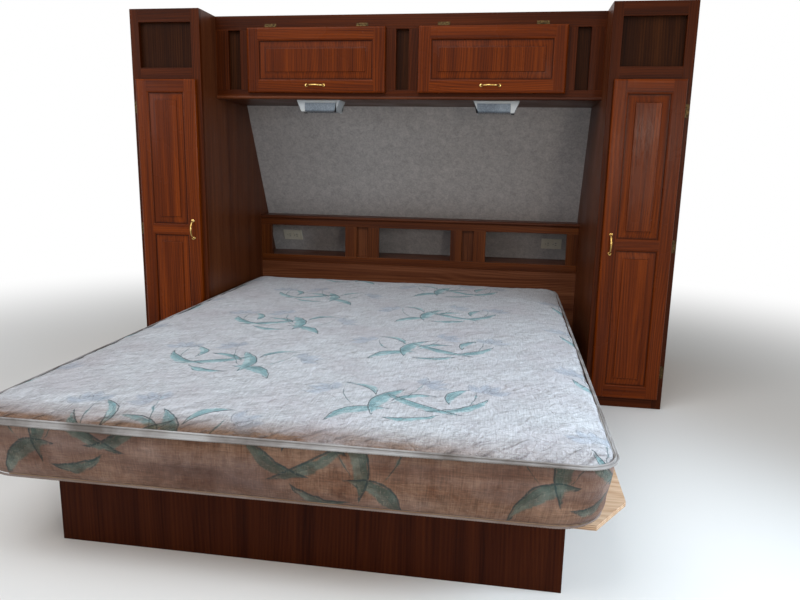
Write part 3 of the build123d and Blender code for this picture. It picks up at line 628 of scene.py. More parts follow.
class Boards:
    """Gathers the faces of a piece made of boards. Each keeps its board's grain and tone, and its wear."""

    def __init__(self, seed):
        self.draw = np.random.default_rng(seed)
        self.points = []
        self.faces = []
        self.grain = []
        self.tone = []
        self.worn = []

    def board(self, along):
        """A new board: the axis of its grain, where in the tree it was cut, and how dark it is."""
        cut = self.draw.uniform(0, 40, 3)
        return {"axis": "xyz".index(along), "cut": cut, "tone": self.draw.uniform(-1, 1)}

    def face(self, corners, board, worn=0.0):
        """Adds a face by its corners, anticlockwise from outside."""
        start = len(self.points)
        self.points += [tuple(c) for c in corners]
        self.faces.append(list(range(start, start + len(corners))))
        along = board["axis"]
        for corner in corners:
            self.grain.append([corner[(along + i) % 3] + board["cut"][i] for i in range(3)])
            self.tone.append(board["tone"])
            self.worn.append(worn)

    def bands(self, rings, boards, worn):
        """Joins each ring to the next. boards holds a board for each side, worn a value for each ring."""
        for first, second, rub in zip(rings, rings[1:], worn[1:]):
            for i, board in enumerate(boards):
                j = (i + 1) % len(boards)
                self.face((first[i], first[j], second[j], second[i]), board, rub)

    def plank(self, low, high, board, ease=BOARD_EASE):
        """A board from corner to corner with eased edges."""
        bm = bmesh.new()
        bmesh.ops.create_cube(bm, size=1.0)
        bmesh.ops.scale(bm, vec=[h - l for l, h in zip(low, high)], verts=bm.verts)
        bmesh.ops.translate(bm, vec=[(h + l) / 2 for l, h in zip(low, high)], verts=bm.verts)
        bmesh.ops.bevel(bm, geom=bm.edges[:], offset=ease, segments=2, profile=0.5, affect="EDGES")
        for face in bm.faces:
            flat = max(abs(c) for c in face.normal) > 0.999
            self.face([v.co.copy() for v in face.verts], board, 0.0 if flat else 0.8)
        bm.free()

    def made(self, name, finish):
        """The finished object, with its doubles merged and its sharp edges marked."""
        mesh = mesh_of(name, self.points, faces=self.faces)
        for label, kind, field, values in (("grain", "FLOAT_VECTOR", "vector", np.ravel(self.grain)),
                                           ("tone", "FLOAT", "value", self.tone),
                                           ("worn", "FLOAT", "value", self.worn)):
            mesh.attributes.new(label, kind, "CORNER").data.foreach_set(field, values)
        bm = bmesh.new()
        bm.from_mesh(mesh)
        bmesh.ops.remove_doubles(bm, verts=bm.verts, dist=MERGED_WITHIN)
        bm.to_mesh(mesh)
        bm.free()
        return link(name, mesh, CRISP, finish)


def mesh_of(name, points, edges=(), faces=()):
    """A new mesh from its points and what joins them."""
    mesh = bpy.data.meshes.new(name)
    mesh.from_pydata(points, edges, faces)
    return mesh


def mesh_from(bm, name):
    """A new mesh from a bmesh that isn't needed any more."""
    mesh = bpy.data.meshes.new(name)
    bm.to_mesh(mesh)
    bm.free()
    return mesh


def rows_of(mesh, what="co"):
    """A mesh's points, or their normals, as an array of rows."""
    values = np.zeros(len(mesh.vertices) * 3)
    mesh.vertices.foreach_get(what, values)
    return values.reshape(-1, 3)


def evaluated(thing):
    """A new mesh of an object with its modifiers applied."""
    bpy.context.view_layer.update()
    seen = thing.evaluated_get(bpy.context.evaluated_depsgraph_get())
    return bpy.data.meshes.new_from_object(seen)


def link(name, mesh, crease, *finishes):
    """Puts a mesh in the scene with its finishes, smooth but for edges sharper than crease degrees."""
    mesh.shade_smooth()
    mesh.set_sharp_from_angle(angle=radians(crease))
    thing = bpy.data.objects.new(name, mesh)
    bpy.context.scene.collection.objects.link(thing)
    for finish in finishes:
        mesh.materials.append(finish)
    return thing


def fixed(piece, body, slot, *nodes):
    """Puts a piece on the body it rides on and hides the nodes it stands for. slot is not used."""
    if nodes:
        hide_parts(*nodes)
    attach(piece, body)


def raised_door(name, node, fields, finish, seed):
    """A frame-and-panel door in the place of its node. fields lists the (low, high) heights of its panels."""
    low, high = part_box(node)
    piece = Boards(seed)
    stile_left, stile_right = piece.board("z"), piece.board("z")
    rails = [piece.board("x") for _ in range(len(fields) + 1)]
    panels = [piece.board("z") for _ in fields]
    front, back = low.y, high.y
    edge, stick = EDGE_SHAPE[-1][0], STICK_SHAPE[0][0]
    field_x = (low.x + DOOR_STILE, high.x - DOOR_STILE)
    stops = (field_x[0] - stick, field_x[1] + stick)

    def ring(inset, depth, x, z, marks=()):
        """A rectangle's corners with extra marks on its lower and upper sides."""
        x0, x1, z0, z1 = x[0] + inset, x[1] - inset, z[0] + inset, z[1] - inset
        lower = [(v, front + depth, z0) for v in (x0, *marks, x1)]
        upper = [(v, front + depth, z1) for v in (x1, *reversed(marks), x0)]
        return lower + upper

    outer = [ring(inset, depth, (low.x, high.x), (low.z, high.z), stops) for inset, depth, _ in EDGE_SHAPE]
    around = (stile_left, rails[0], stile_right, stile_right, stile_right, rails[-1], stile_left, stile_left)
    piece.bands(outer, around, [worn for *_, worn in EDGE_SHAPE])
    heights = [h for field in fields for h in (field[0] - stick, field[1] + stick)]
    sides = ((0.0, 1, low.x + edge, high.x - edge, [low.z + edge, *heights, high.z - edge]),
             (back - front, -1, low.x, high.x, [low.z, *heights, high.z]))
    for depth, turn, left, right, marks in sides:
        y = front + depth
        left_face = [(left, y, marks[0])] + [(stops[0], y, h) for h in marks] + [(left, y, marks[-1])]
        right_face = [(right, y, marks[0]), (right, y, marks[-1])]
        right_face += [(stops[1], y, h) for h in reversed(marks)]
        piece.face(left_face[::turn], stile_left)
        piece.face(right_face[::turn], stile_right)
        for i, (bottom, top) in enumerate(zip(marks, marks[1:])):
            is_panel = i % 2 == 1
            if is_panel and turn == 1:
                continue
            corners = [(stops[0], y, bottom), (stops[1], y, bottom), (stops[1], y, top), (stops[0], y, top)]
            piece.face(corners[::turn], panels[i // 2] if is_panel else rails[i // 2])
    for field, panel, lower_rail, upper_rail in zip(fields, panels, rails, rails[1:]):
        rings = [ring(-out, depth, field_x, field) for out, depth, _ in STICK_SHAPE]
        around = (lower_rail, stile_right, upper_rail, stile_left)
        piece.bands(rings, around, [worn for *_, worn in STICK_SHAPE])
        rings = [ring(inset, depth, field_x, field) for inset, depth, _ in FIELD_SHAPE]
        piece.bands(rings, [panel] * 4, [worn for *_, worn in FIELD_SHAPE])
        piece.face(rings[-1], panel)
    fixed(piece.made(name, finish), node, "oak_door", node)


def face_frame(name, node, planks, finish, seed):
    """A face frame in the place of its node. planks lists (x, z, grain axis) for each stile and rail."""
    low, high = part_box(node)
    piece = Boards(seed)
    for x, z, along in planks:
        piece.plank((x[0], low.y, z[0]), (x[1], high.y, z[1]), piece.board(along))
    fixed(piece.made(name, finish), "cabinetry", "oak_frame", node)


def side_box(node, side):
    """The corners of the part of a node that lies left (-1) or right (1) of the middle."""
    points = rows_of(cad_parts[node].data)
    points = points[points[:, 0] * side > 0]
    return Vector(points.min(0)), Vector(points.max(0))


def corners_between(low, high):
    """A box's eight corners, the lower four and then the upper four."""
    return [(x, y, z) for z in (low[2], high[2])
            for x, y in ((low[0], low[1]), (high[0], low[1]), (high[0], high[1]), (low[0], high[1]))]


def circle(radius, count):
    """Points round a circle, as pairs."""
    return [(radius * cos(2 * pi * k / count), radius * sin(2 * pi * k / count)) for k in range(count)]


def skin(bm, rows):
    """Closes a skin through rows of points, with a face at each end."""
    rows = [[bm.verts.new(p) for p in row] for row in rows]
    for near, far in zip(rows, rows[1:]):
        for i in range(len(near)):
            j = (i + 1) % len(near)
            corners = [near[i], near[j], far[j % len(far)], far[i % len(far)]]
            bm.faces.new(list(dict.fromkeys(corners)))
    for end in (rows[0], rows[-1]):
        if len(end) > 2:
            bm.faces.new(end)


def bow_pull(name, node, body, finish):
    """A cast bow handle with a slender waist and round feet, in the place of its node."""
    low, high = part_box(node)
    upright = high.z - low.z > high.x - low.x
    half = max(high.z - low.z, high.x - low.x) / 2 - PULL_FOOT
    rise = high.y - low.y - PULL_WAIST[0]
    radius = (half * half + rise * rise) / (2 * rise)
    sweep = 2 * atan2(half, radius - rise)
    bm = bmesh.new()
    rows = []
    for i in range(PULL_STEPS + 1):
        share = 2 * i / PULL_STEPS - 1
        angle = share * sweep / 2
        thick = PULL_WAIST[0] + PULL_FLARE[0] * share ** 2
        wide = PULL_WAIST[1] + PULL_FLARE[1] * abs(share) ** 3
        reach = [(radius + thick * a, wide * b) for a, b in circle(1.0, 16)]
        rows.append([(r * sin(angle), radius - rise - r * cos(angle), side) for r, side in reach])
    skin(bm, rows)
    for foot in (-half, half):
        rows = [[(foot + a, -out, b) for a, b in circle(r, 24)] for r, out in PULL_FOOT_SHAPE]
        skin(bm, rows + [[(foot, -PULL_FOOT_TIP, 0.0)]])
    bmesh.ops.recalc_face_normals(bm, faces=bm.faces)
    place = Matrix.Translation(((low.x + high.x) / 2, high.y, (low.z + high.z) / 2))
    if upright:
        place = place @ Matrix.Rotation(pi / 2, 4, "Y")
    bmesh.ops.transform(bm, matrix=place, verts=bm.verts)
    fixed(link(name, mesh_from(bm, name), SOFT, finish), body, "brass", node)


def new_tree(name, taken, sizes, given_back):
    """A geometry-nodes tree with its named inputs, and the sockets that they give."""
    tree = bpy.data.node_groups.new(name, "GeometryNodeTree")
    tree.interface.new_socket(taken, in_out="INPUT", socket_type="NodeSocketGeometry")
    for label, value in sizes.items():
        tree.interface.new_socket(label, in_out="INPUT", socket_type="NodeSocketFloat").default_value = value
    tree.interface.new_socket(given_back, in_out="OUTPUT", socket_type="NodeSocketGeometry")
    return tree, put(tree, "NodeGroupInput", out=None)


def finish_tree(tree, shape, finish):
    """Ends a tree: instances made real, and the finish set."""
    real = put(tree, "GeometryNodeRealizeInstances", shape)
    put(tree, "NodeGroupOutput", put(tree, "GeometryNodeSetMaterial", real, given={"Material": finish}))
    return tree


def screw_tree(finish):
    """Geometry nodes: a domed screw head with a cross slot at each point, turned to the point's facing."""
    sizes = {"Head radius": SCREW_HEAD, "Head height": SCREW_PROUD}
    tree, sizes = new_tree("screw_heads", "Places", sizes, "Heads")
    radius, height = sizes[1], sizes[2]
    top, long, thin = (put(tree, MULTIPLY, radius, share) for share in (0.62, 0.9, 0.2))
    dome = {"Vertices": 16, "Radius Top": top, "Radius Bottom": radius, "Depth": height}
    head = put(tree, "GeometryNodeMeshCone", given=dome)
    deep = put(tree, MULTIPLY, height, 0.25)
    slot = put(tree, "GeometryNodeMeshCube", put(tree, TOGETHER, long, thin, deep))
    crossed = put(tree, "GeometryNodeTransform", slot, given={"Rotation": (0.0, 0.0, pi / 2)})
    slots = put(tree, "GeometryNodeJoinGeometry", [slot, crossed])
    lift = put(tree, TOGETHER, given={2: height})
    raised = put(tree, "GeometryNodeTransform", slots, given={"Translation": lift})
    whole = put(tree, "GeometryNodeJoinGeometry", [head, raised])
    facing = put(tree, "GeometryNodeInputNamedAttribute", given={"Name": "facing"}, data_type="FLOAT_VECTOR")
    turn = put(tree, "FunctionNodeAlignRotationToVector", given={"Vector": facing}, axis="Z")
    placed = put(tree, "GeometryNodeInstanceOnPoints", sizes[0], given={"Instance": whole, "Rotation": turn})
    return finish_tree(tree, placed, finish)


def rib_tree(finish):
    """Geometry nodes: a thin half-round rib along the given section, repeated sideways."""
    sizes = {"Rib radius": LENS_RIB_RADIUS, "Length": 0.14, "Spacing": LENS_RIB}
    tree, sizes = new_tree("lens_ribs", "Section", sizes, "Ribs")
    line = put(tree, "GeometryNodeMeshToCurve", sizes[0])
    bead = put(tree, "GeometryNodeCurvePrimitiveCircle", given={"Resolution": 6, "Radius": sizes[1]})
    rib = put(tree, "GeometryNodeCurveToMesh", line, bead, given={"Fill Caps": True})
    count = put(tree, MATH + "FLOOR", put(tree, MATH + "DIVIDE", sizes[2], sizes[3]))
    step = put(tree, TOGETHER, sizes[3])
    row = put(tree, "GeometryNodeMeshLine", given={"Count": count, "Offset": step})
    placed = put(tree, "GeometryNodeInstanceOnPoints", row, given={"Instance": rib})
    return finish_tree(tree, placed, finish)


def pipe_tree(finish):
    """Geometry nodes: a closed line becomes piping, with a row of stitches just under it."""
    sizes = {"Pipe radius": PIPE_RADIUS, "Stitch gap": STITCH_GAP, "Stitch radius": STITCH_RADIUS,
             "Stitch drop": STITCH_DROP}
    tree, sizes = new_tree("piping", "Seam", sizes, "Piping")
    line = put(tree, "GeometryNodeMeshToCurve", sizes[0])
    even = put(tree, "GeometryNodeResampleCurve", line, given={"Length": PIPE_STEP}, mode="LENGTH")
    section = put(tree, "GeometryNodeCurvePrimitiveCircle", given={"Resolution": 10, "Radius": sizes[1]})
    pipe = put(tree, "GeometryNodeCurveToMesh", even, section)
    smooth = put(tree, "GeometryNodeSetShadeSmooth", pipe)
    places = put(tree, "GeometryNodeCurveToPoints", line, given={"Length": sizes[2]}, out=None, mode="LENGTH")
    turn = put(tree, "FunctionNodeAlignRotationToVector", given={"Vector": places["Tangent"]}, axis="Z")
    length = put(tree, MULTIPLY, sizes[2], 0.6)
    stitch = put(tree, "GeometryNodeMeshCylinder", given={"Vertices": 6, "Radius": sizes[3], "Depth": length})
    row = put(tree, "GeometryNodeInstanceOnPoints", places[0], given={"Instance": stitch, "Rotation": turn})
    down = put(tree, TOGETHER, given={2: put(tree, MULTIPLY, sizes[4], -1.0)})
    lowered = put(tree, "GeometryNodeTransform", row, given={"Translation": down})
    return finish_tree(tree, put(tree, "GeometryNodeJoinGeometry", [smooth, lowered]), finish)


def grown(name, seed_mesh, tree, finish, **sizes):
    """Runs a geometry-nodes tree on a mesh once and keeps the result as a plain mesh object."""
    source = bpy.data.objects.new(name + "_places", seed_mesh)
    bpy.context.scene.collection.objects.link(source)
    growth = source.modifiers.new("growth", "NODES")
    growth.node_group = tree
    sockets = {item.name: item.identifier for item in tree.interface.items_tree if item.in_out == "INPUT"}
    for label, value in sizes.items():
        growth[sockets[label]] = value
    mesh = evaluated(source)
    bpy.data.objects.remove(source)
    mesh.materials.clear()
    return link(name, mesh, SOFT, finish)


def block(corners, ease, finish):
    """A six-sided block from its eight corners (lower four, then upper four), with rounded edges."""
    bm = bmesh.new()
    verts = [bm.verts.new(c) for c in corners]
    for side in ((0, 1, 2, 3), (7, 6, 5, 4), (0, 4, 5, 1), (1, 5, 6, 2), (2, 6, 7, 3), (3, 7, 4, 0)):
        bm.faces.new([verts[i] for i in side])
    bmesh.ops.recalc_face_normals(bm, faces=bm.faces)
    bmesh.ops.bevel(bm, geom=bm.edges[:], offset=ease, segments=3, profile=0.5, affect="EDGES")
    return link("block", mesh_from(bm, "block"), CRISP, finish)


def joined(name, things):
    """Several objects of one finish as one."""
    bm = bmesh.new()
    for thing in things:
        bm.from_mesh(thing.data)
    finish = things[0].data.materials[0]
    for thing in things:
        bpy.data.objects.remove(thing)
    return link(name, mesh_from(bm, name), CRISP, finish)


def lamps():
    """The two reading lamps: white housings with slanted ends, ribbed lenses and rocker switches."""
    white = finish_from("white_abs", moulded, "b3b6b7", "b4ac92", 0.34)
    clear = finish_from("ribbed_acrylic", acrylic)
    black = finish_from("black_rocker_plastic", moulded, "1d1d1f", "2e2d2c", 0.28)
    ribs = rib_tree(clear)
    housings, lenses, rockers = [], [], []
    for side in (-1, 1):
        low, high = side_box("lamp_housings", side)
        lens_low, lens_high = side_box("lamp_lenses", side)

        def length(x0, x1, z0, z1):
            """A length of the housing between two heights, its outer ends following the slant."""
            corners = []
            for z in (z0, z1):
                inward = LAMP_SLANT * (high.z - z) / (high.z - low.z)
                left, right = max(x0, low.x + inward), min(x1, high.x - inward)
                front = low.y + (LAMP_SHY if x0 > low.x and x1 < high.x else 0.0)
                corners += [(left, front, z), (right, front, z), (right, high.y, z), (left, high.y, z)]
            return block(corners, LAMP_EASE, white)

        housings += [length(lens_low.x - LAMP_EASE, lens_high.x + LAMP_EASE, high.z - LENS_TOP,
                            high.z - LAMP_SHY),
                     length(low.x, lens_low.x, low.z, high.z), length(lens_high.x, high.x, low.z, high.z)]
        lenses += lens(lens_low, lens_high, clear, ribs)
        rockers.append(block(corners_between(*side_box("lamp_switches", side)), ROCKER_EASE, black))
    fixed(joined("lamp_bodies", housings), "cabinetry", "lamp_white", "lamp_housings")
    fixed(joined("lamp_ribbed_lenses", lenses), "cabinetry", "lamp_lens", "lamp_lenses")
    fixed(joined("lamp_rockers", rockers), "cabinetry", "switch_black", "lamp_switches")


def lens(low, high, finish, ribs):
    """A lens with round lower corners, and the ribs across its skin."""
    arc = [(k + 0.5) * pi / 16 for k in range(8)]
    shy = 2 * LENS_RIB_RADIUS
    front = [(low.y + shy + LENS_ROUND * (1 - cos(a)), low.z + shy + LENS_ROUND * (1 - sin(a))) for a in arc]
    rear = [(low.y + high.y - y, z) for y, z in reversed(front)]
    section = [(front[0][0], high.z)] + front + rear + [(rear[-1][0], high.z)]
    bm = bmesh.new()
    skin(bm, [[(x, y, z) for y, z in section] for x in (low.x + LAMP_SHY, high.x - LAMP_SHY)])
    bmesh.ops.recalc_face_normals(bm, faces=bm.faces)
    body = link("lens_body", mesh_from(bm, "lens_body"), LENS_SOFT, finish)
    points = [(low.x + LENS_RIB, y, z) for y, z in section]
    seam = mesh_of("lens_section", points, [(i, i + 1) for i in range(len(points) - 1)])
    return [body, grown("lens_ribs", seam, ribs, finish, Length=high.x - low.x - LENS_RIB)]


def wall_place(x, height):
    """Where the slanted wall's face is at a height, with the wall's own right, up and outward directions."""
    low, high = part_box("wall_lining_sloped")
    run = high.y - low.y - LINING_THICK
    rise = high.z - low.z
    up = Vector((0.0, -run, rise)).normalized()
    out = Vector((0.0, -rise, -run)).normalized()
    seat = Vector((x, high.y - LINING_THICK - run * (height - low.z) / rise, height))
    turned = Matrix(((1, 0, 0), up, out)).transposed().to_4x4()
    return Matrix.Translation(seat) @ turned


def outlets():
    """The two power outlets on the slanted wall: bevelled plate, two sockets with blade slots, a screw."""
    ivory = finish_from("ivory_urea_plate", moulded, "d9d3c1", "c6b98f", 0.34)
    dark = finish_from("slot_shadow_plastic", moulded, "151515", "242322", 0.5)
    for name in both("outlet"):
        low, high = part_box(name)
        place = wall_place((low.x + high.x) / 2, OUTLET_HEIGHT)

        def part(finish, shape, at=0.0):
            """A rounded block on the wall, in the wall's own directions."""
            x, y, wide, tall, back, front, ease = shape
            corners = corners_between((at + x - wide, y - tall, back), (at + x + wide, y + tall, front))
            return block([place @ Vector(c) for c in corners], ease, finish)

        pale = [part(ivory, OUTLET_PLATE), *(part(ivory, SOCKET, at) for at in SOCKETS_AT),
                part(ivory, OUTLET_SCREW)]
        holes = [part(dark, slot, at) for at in SOCKETS_AT for slot in SOCKET_SLOTS]
        fixed(joined(name + "_plate", pale), "cabinetry", "outlet_white", name)
        fixed(joined(name + "_slots", holes), "cabinetry", "switch_black")


def smooth_noise(values, seed):
    """Seeded smooth noise along one length, from -1 to 1."""
    knots = np.random.default_rng(seed).uniform(-1, 1, 4096)
    whole = np.floor(values).astype(int)
    share = values - whole
    share = share * share * (3 - 2 * share)
    return knots[whole % 4096] * (1 - share) + knots[(whole + 1) % 4096] * share


def edge_room(x, y, half_wide, half_long, corner):
    """How far inside a rounded rectangle each point lies."""
    a = abs(x) - (half_wide - corner)
    b = abs(y) - (half_long - corner)
    rounded = corner - np.hypot(np.maximum(a, 0), np.maximum(b, 0))
    return np.where((a > 0) & (b > 0), rounded, np.minimum(half_wide - abs(x), half_long - abs(y)))


def ticking_grid(size, thick):
    """The mattress's skin as a grid folded round its shape, with round corners and seams at its rims.

    Returns points, faces, each face's flat place on the cloth, its panel, and the two seam loops."""
    wide, long = size
    nx, ny, nz = (round(s / COARSE) for s in (wide, long, thick))
    numbers = {}
    points = []

    def at(i, j, k):
        """The number of the grid's point (i, j, k), made when it is first asked for."""
        if (i, j, k) not in numbers:
            share = k / nz
            inset = LOWER_IN + (UPPER_IN - LOWER_IN) * share - BORDER_BULGE * sin(pi * share) ** 0.7
            corner = LOWER_CORNER + (UPPER_CORNER - LOWER_CORNER) * share
            half_wide, half_long = wide / 2 - inset, long / 2 - inset
            x, y = 2 * half_wide * (i / nx - 0.5), 2 * half_long * (j / ny - 0.5)
            a, b = (abs(x) - (half_wide - corner)) / corner, (abs(y) - (half_long - corner)) / corner
            if a > 0 and b > 0:
                shrink = max(a, b) / hypot(a, b)
                x = (half_wide - corner + corner * a * shrink) * (1 if x > 0 else -1)
                y = (half_long - corner + corner * b * shrink) * (1 if y > 0 else -1)
            numbers[(i, j, k)] = len(points)
            points.append((x, y, thick * share))
        return numbers[(i, j, k)]

    faces, flats, panels = [], [], []
    for i in range(nx):
        for j in range(ny):
            cell = [(i, j), (i + 1, j), (i + 1, j + 1), (i, j + 1)]
            flat = [(wide * (a / nx - 0.5), long * (b / ny - 0.5)) for a, b in cell]
            faces += [[at(a, b, nz) for a, b in cell], [at(a, b, 0) for a, b in cell[::-1]]]
            flats += [flat, flat[::-1]]
            panels += [0, 1]
    rim = [(i, 0) for i in range(nx)] + [(nx, j) for j in range(ny)]
    rim += [(i, ny) for i in range(nx, 0, -1)] + [(0, j) for j in range(ny, 0, -1)]
    step = 2 * (wide + long) / len(rim)
    for n, (a, b) in enumerate(rim):
        c, d = rim[(n + 1) % len(rim)]
        for k in range(nz):
            low, high = thick * k / nz + BORDER_PRINT, thick * (k + 1) / nz + BORDER_PRINT
            faces.append([at(a, b, k), at(c, d, k), at(c, d, k + 1), at(a, b, k + 1)])
            flats.append([(n * step, low), ((n + 1) * step, low), ((n + 1) * step, high), (n * step, high)])
            panels.append(1)
    return points, faces, flats, panels, [[at(a, b, k) for a, b in rim] for k in (nz, 0)]


def mattress():
    """The mattress: its skin is blown up by pressure between its seams, then puckered and piped."""
    low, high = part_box("mattress")
    size = (high.x - low.x, high.y - low.y)
    thick = high.z - low.z - CROWN
    points, faces, flats, panels, loops = ticking_grid(size, thick)
    mesh = mesh_of("mattress_quilted", points, faces=faces)
    mesh.uv_layers.new(name="flat").data.foreach_set("uv", np.ravel([p for f in flats for p in f]))
    mesh.polygons.foreach_set("material_index", panels)
    top = finish_from("printed_ticking", ticking, TOP_CLOTH, quilted_top)
    # The border's finish is painted shade: the top's ticking made darker and browner
    border = finish_from("shaded_printed_border", ticking, SHADED_BORDER_CLOTH, folded_border)
    cushion = link("mattress_quilted", mesh, CUSHION_SOFT, top, border)
    start = np.array(points)
    room = edge_room(start[:, 0], start[:, 1], size[0] / 2 - UPPER_IN, size[1] / 2 - UPPER_IN, UPPER_CORNER)
    on_top = start[:, 2] > thick - 1e-6
    start[on_top, 2] += CROWN_START * (1 - np.exp(-np.clip(room[on_top], 0, 1) / CROWN_REACH))
    mesh.vertices.foreach_set("co", start.ravel())
    pinned = np.zeros(len(points), bool)
    pinned[loops[0] + loops[1]] = True
    pinned |= start[:, 2] < 1e-6
    blown_up(cushion, pinned)
    moved = rows_of(mesh) - start
    far = np.linalg.norm(moved, axis=1)
    cap = np.where(on_top, CROWN - CROWN_START - CROWN_SPARE, SIDE_CAP)
    share = np.where(far > 1e-9, cap * np.tanh(far / cap) / np.maximum(far, 1e-9), 0.0)
    settled = start + moved * share[:, None]
    mesh.vertices.foreach_set("co", settled.ravel())
    finer(cushion)
    pucker(cushion, size, thick)
    centre = Vector(((low.x + high.x) / 2, (low.y + high.y) / 2, low.z))
    cushion.data.transform(Matrix.Translation(centre))
    fixed(cushion, "bed_lift", "ticking", "mattress")
    piping(*(settled[loop] for loop in loops), np.array(centre))


def piping(upper, lower, centre):
    """Two cords with a tape between them at the mattress's upper rim, and a cord at its lower rim."""
    finish = finish_from("cotton_edging", edging)
    tree = pipe_tree(finish)
    second = upper.copy()
    second[:, 2] -= np.interp(upper[:, 0], PIPE_GAP_AT, PIPE_GAP)
    count = len(upper)
    ahead = np.roll(upper, -1, 0) - np.roll(upper, 1, 0)
    away = np.stack([ahead[:, 1], -ahead[:, 0], np.zeros(count)], 1)
    away /= np.linalg.norm(away, axis=1)[:, None]
    rim = ((upper, PIPE_OUT), (second, SECOND_PIPE_OUT))
    closed = [(i, (i + 1) % count) for i in range(count)]
    for name, (line, out) in zip(("upper", "second", "lower"), (*rim, (lower, PIPE_OUT))):
        seam = mesh_of("seam", (line + away * out + centre).tolist(), closed)
        fixed(grown("mattress_piping_" + name, seam, tree, finish), "bed_lift", "ticking")
    section = [*rim, *((line, out - TAPE_THICK) for line, out in reversed(rim))]
    points = np.concatenate([line + away * out + centre for line, out in section])
    faces = []
    for side in range(4):
        a, b = side * count, (side + 1) % 4 * count
        faces += [(a + i, b + i, b + (i + 1) % count, a + (i + 1) % count) for i in range(count)]
    tape = mesh_of("mattress_tape", points.tolist(), faces=faces)
    fixed(link("mattress_tape", tape, SOFT, finish), "bed_lift", "ticking")


def blown_up(cushion, pinned):
    """Blender's cloth under pressure, held at its seams, with its result kept in the mesh."""
    group = cushion.vertex_groups.new(name="seams")
    group.add(np.nonzero(pinned)[0].tolist(), 1.0, "REPLACE")
    cloth = cushion.modifiers.new("cloth", "CLOTH")
    settings = cloth.settings
    settings.quality = 5
    settings.mass = 0.4
    settings.tension_stiffness = 25
    settings.compression_stiffness = 25
    settings.shear_stiffness = 10
    settings.bending_stiffness = 1.5
    settings.use_pressure = True
    settings.uniform_pressure_force = 4.0
    settings.vertex_group_mass = "seams"
    settings.effector_weights.gravity = 0.0
    for step in range(1, BLOW_STEPS + 1):
        bpy.context.scene.frame_set(step)
    blown = evaluated(cushion)
    cushion.modifiers.remove(cloth)
    cushion.vertex_groups.clear()
    cushion.data.vertices.foreach_set("co", rows_of(blown).ravel())
    bpy.data.meshes.remove(blown)
    bpy.context.scene.frame_set(1)


def finer(thing):
    """Subdivides a mesh once and keeps the result."""
    smooth = thing.modifiers.new("smooth", "SUBSURF")
    smooth.levels = smooth.render_levels = 1
    mesh = evaluated(thing)
    thing.modifiers.clear()
    thing.data = mesh
    mesh.name = thing.name


def pucker(cushion, size, thick):
    """Small gathers beside the seams, and the soft unevenness of old padding on top."""
    mesh = cushion.data
    co = rows_of(mesh)
    normals = rows_of(mesh, "normal")
    around = (np.arctan2(co[:, 1] / size[1], co[:, 0] / size[0]) / (2 * pi) + 0.5) * 2 * (size[0] + size[1])
    room = edge_room(co[:, 0], co[:, 1], size[0] / 2 - UPPER_IN, size[1] / 2 - UPPER_IN, UPPER_CORNER)
    lean = around + 0.6 * np.clip(room, 0, 0.2)
    ripple = smooth_noise(lean / PUCKER_WAVE, 5) + 0.6 * smooth_noise(lean / (PUCKER_WAVE * 0.5), 6)
    on_top = normals[:, 2] > 0.55
    on_side = abs(normals[:, 2]) < 0.55
    near_rim = np.exp(-np.clip(room, 0, 1) / RIM_REACH) * np.clip(room / RIM_START, 0, 1)
    seam_room = np.clip(np.minimum(co[:, 2], thick - co[:, 2]), 0, 1)
    near_seam = np.exp(-seam_room / SEAM_REACH) * np.clip(seam_room / SEAM_START, 0, 1)
    slack = smooth_noise(co[:, 0] / 0.10 + 40 + 2 * smooth_noise(co[:, 1] / 0.23 + 9, 8), 11)
    slack = slack * smooth_noise(co[:, 1] / 0.13 + 70 + 2 * smooth_noise(co[:, 0] / 0.3 + 5, 9), 12)
    fold = smooth_noise(co[:, 2] / FOLD_WAVE + 30 + 1.5 * smooth_noise(around / 0.22, 14), 15)
    turn = radians(WRINKLE_TURN)
    along = co[:, 0] * cos(turn) + co[:, 1] * sin(turn)
    across = co[:, 1] * cos(turn) - co[:, 0] * sin(turn) + 0.02 * smooth_noise(along / 0.11 + 20, 21)
    fading = 0.6 + 0.4 * smooth_noise(along / 0.08 + 40 + 3 * smooth_noise(across / 0.09 + 60, 23), 24)
    wrinkle = smooth_noise(across / WRINKLE_WAVE + 90, 22) * fading
    top = PUCKER_TOP * ripple * near_rim + SLACK * slack + WRINKLE * wrinkle
    side = PUCKER_SIDE * ripple * near_seam + FOLD * fold * np.clip(seam_room / FOLD_START, 0, 1)
    push = np.minimum(np.where(on_side, side, np.where(on_top, top, 0.0)), PUSH_CAP)
    co += normals * push[:, None]
    mesh.vertices.foreach_set("co", co.ravel())
    mesh.update()


def clusters(values, gap=0.03):
    """Groups of indices whose values lie close together."""
    order = np.argsort(values)
    return np.split(order, np.nonzero(np.diff(values[order]) > gap)[0] + 1)


def hinge_screws(finish):
    """Two screws in each hinge leaf that lies on a face frame."""
    tree = screw_tree(finish)
    for node in both("wardrobe_frame_leaves", "locker_frame_leaves"):
        points = rows_of(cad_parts[node].data)
        along, across = (2, 0) if "wardrobe" in node else (0, 2)
        places = []
        for group in clusters(points[:, along]):
            low, high = points[group].min(0), points[group].max(0)
            for share in SCREWS_ALONG:
                place = np.array([0.0, high[1] - LEAF_THICK - SCREW_PROUD / 2, 0.0])
                place[along] = low[along] + (high[along] - low[along]) * share
                place[across] = low[across] + LEAF_MIDDLE if node == "wardrobe_frame_leaves_left" else (
                    high[across] - LEAF_MIDDLE)
                places.append(place.tolist())
        seats = mesh_of(node + "_seats", places)
        facing = seats.attributes.new("facing", "FLOAT_VECTOR", "POINT")
        facing.data.foreach_set("vector", [0.0, -1.0, 0.0] * len(places))
        fixed(grown(node + "_screws", seats, tree, finish), "cabinetry", "brass")


def paint(finish, *nodes):
    """Gives carried-over nodes their finish."""
    for node in nodes:
        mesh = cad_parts[node].data
        mesh.materials.clear()
        mesh.materials.append(finish)


def both(*stems):
    """Left and right names of nodes."""
    return [f"{stem}_{side}" for stem in stems for side in ("left", "right")]


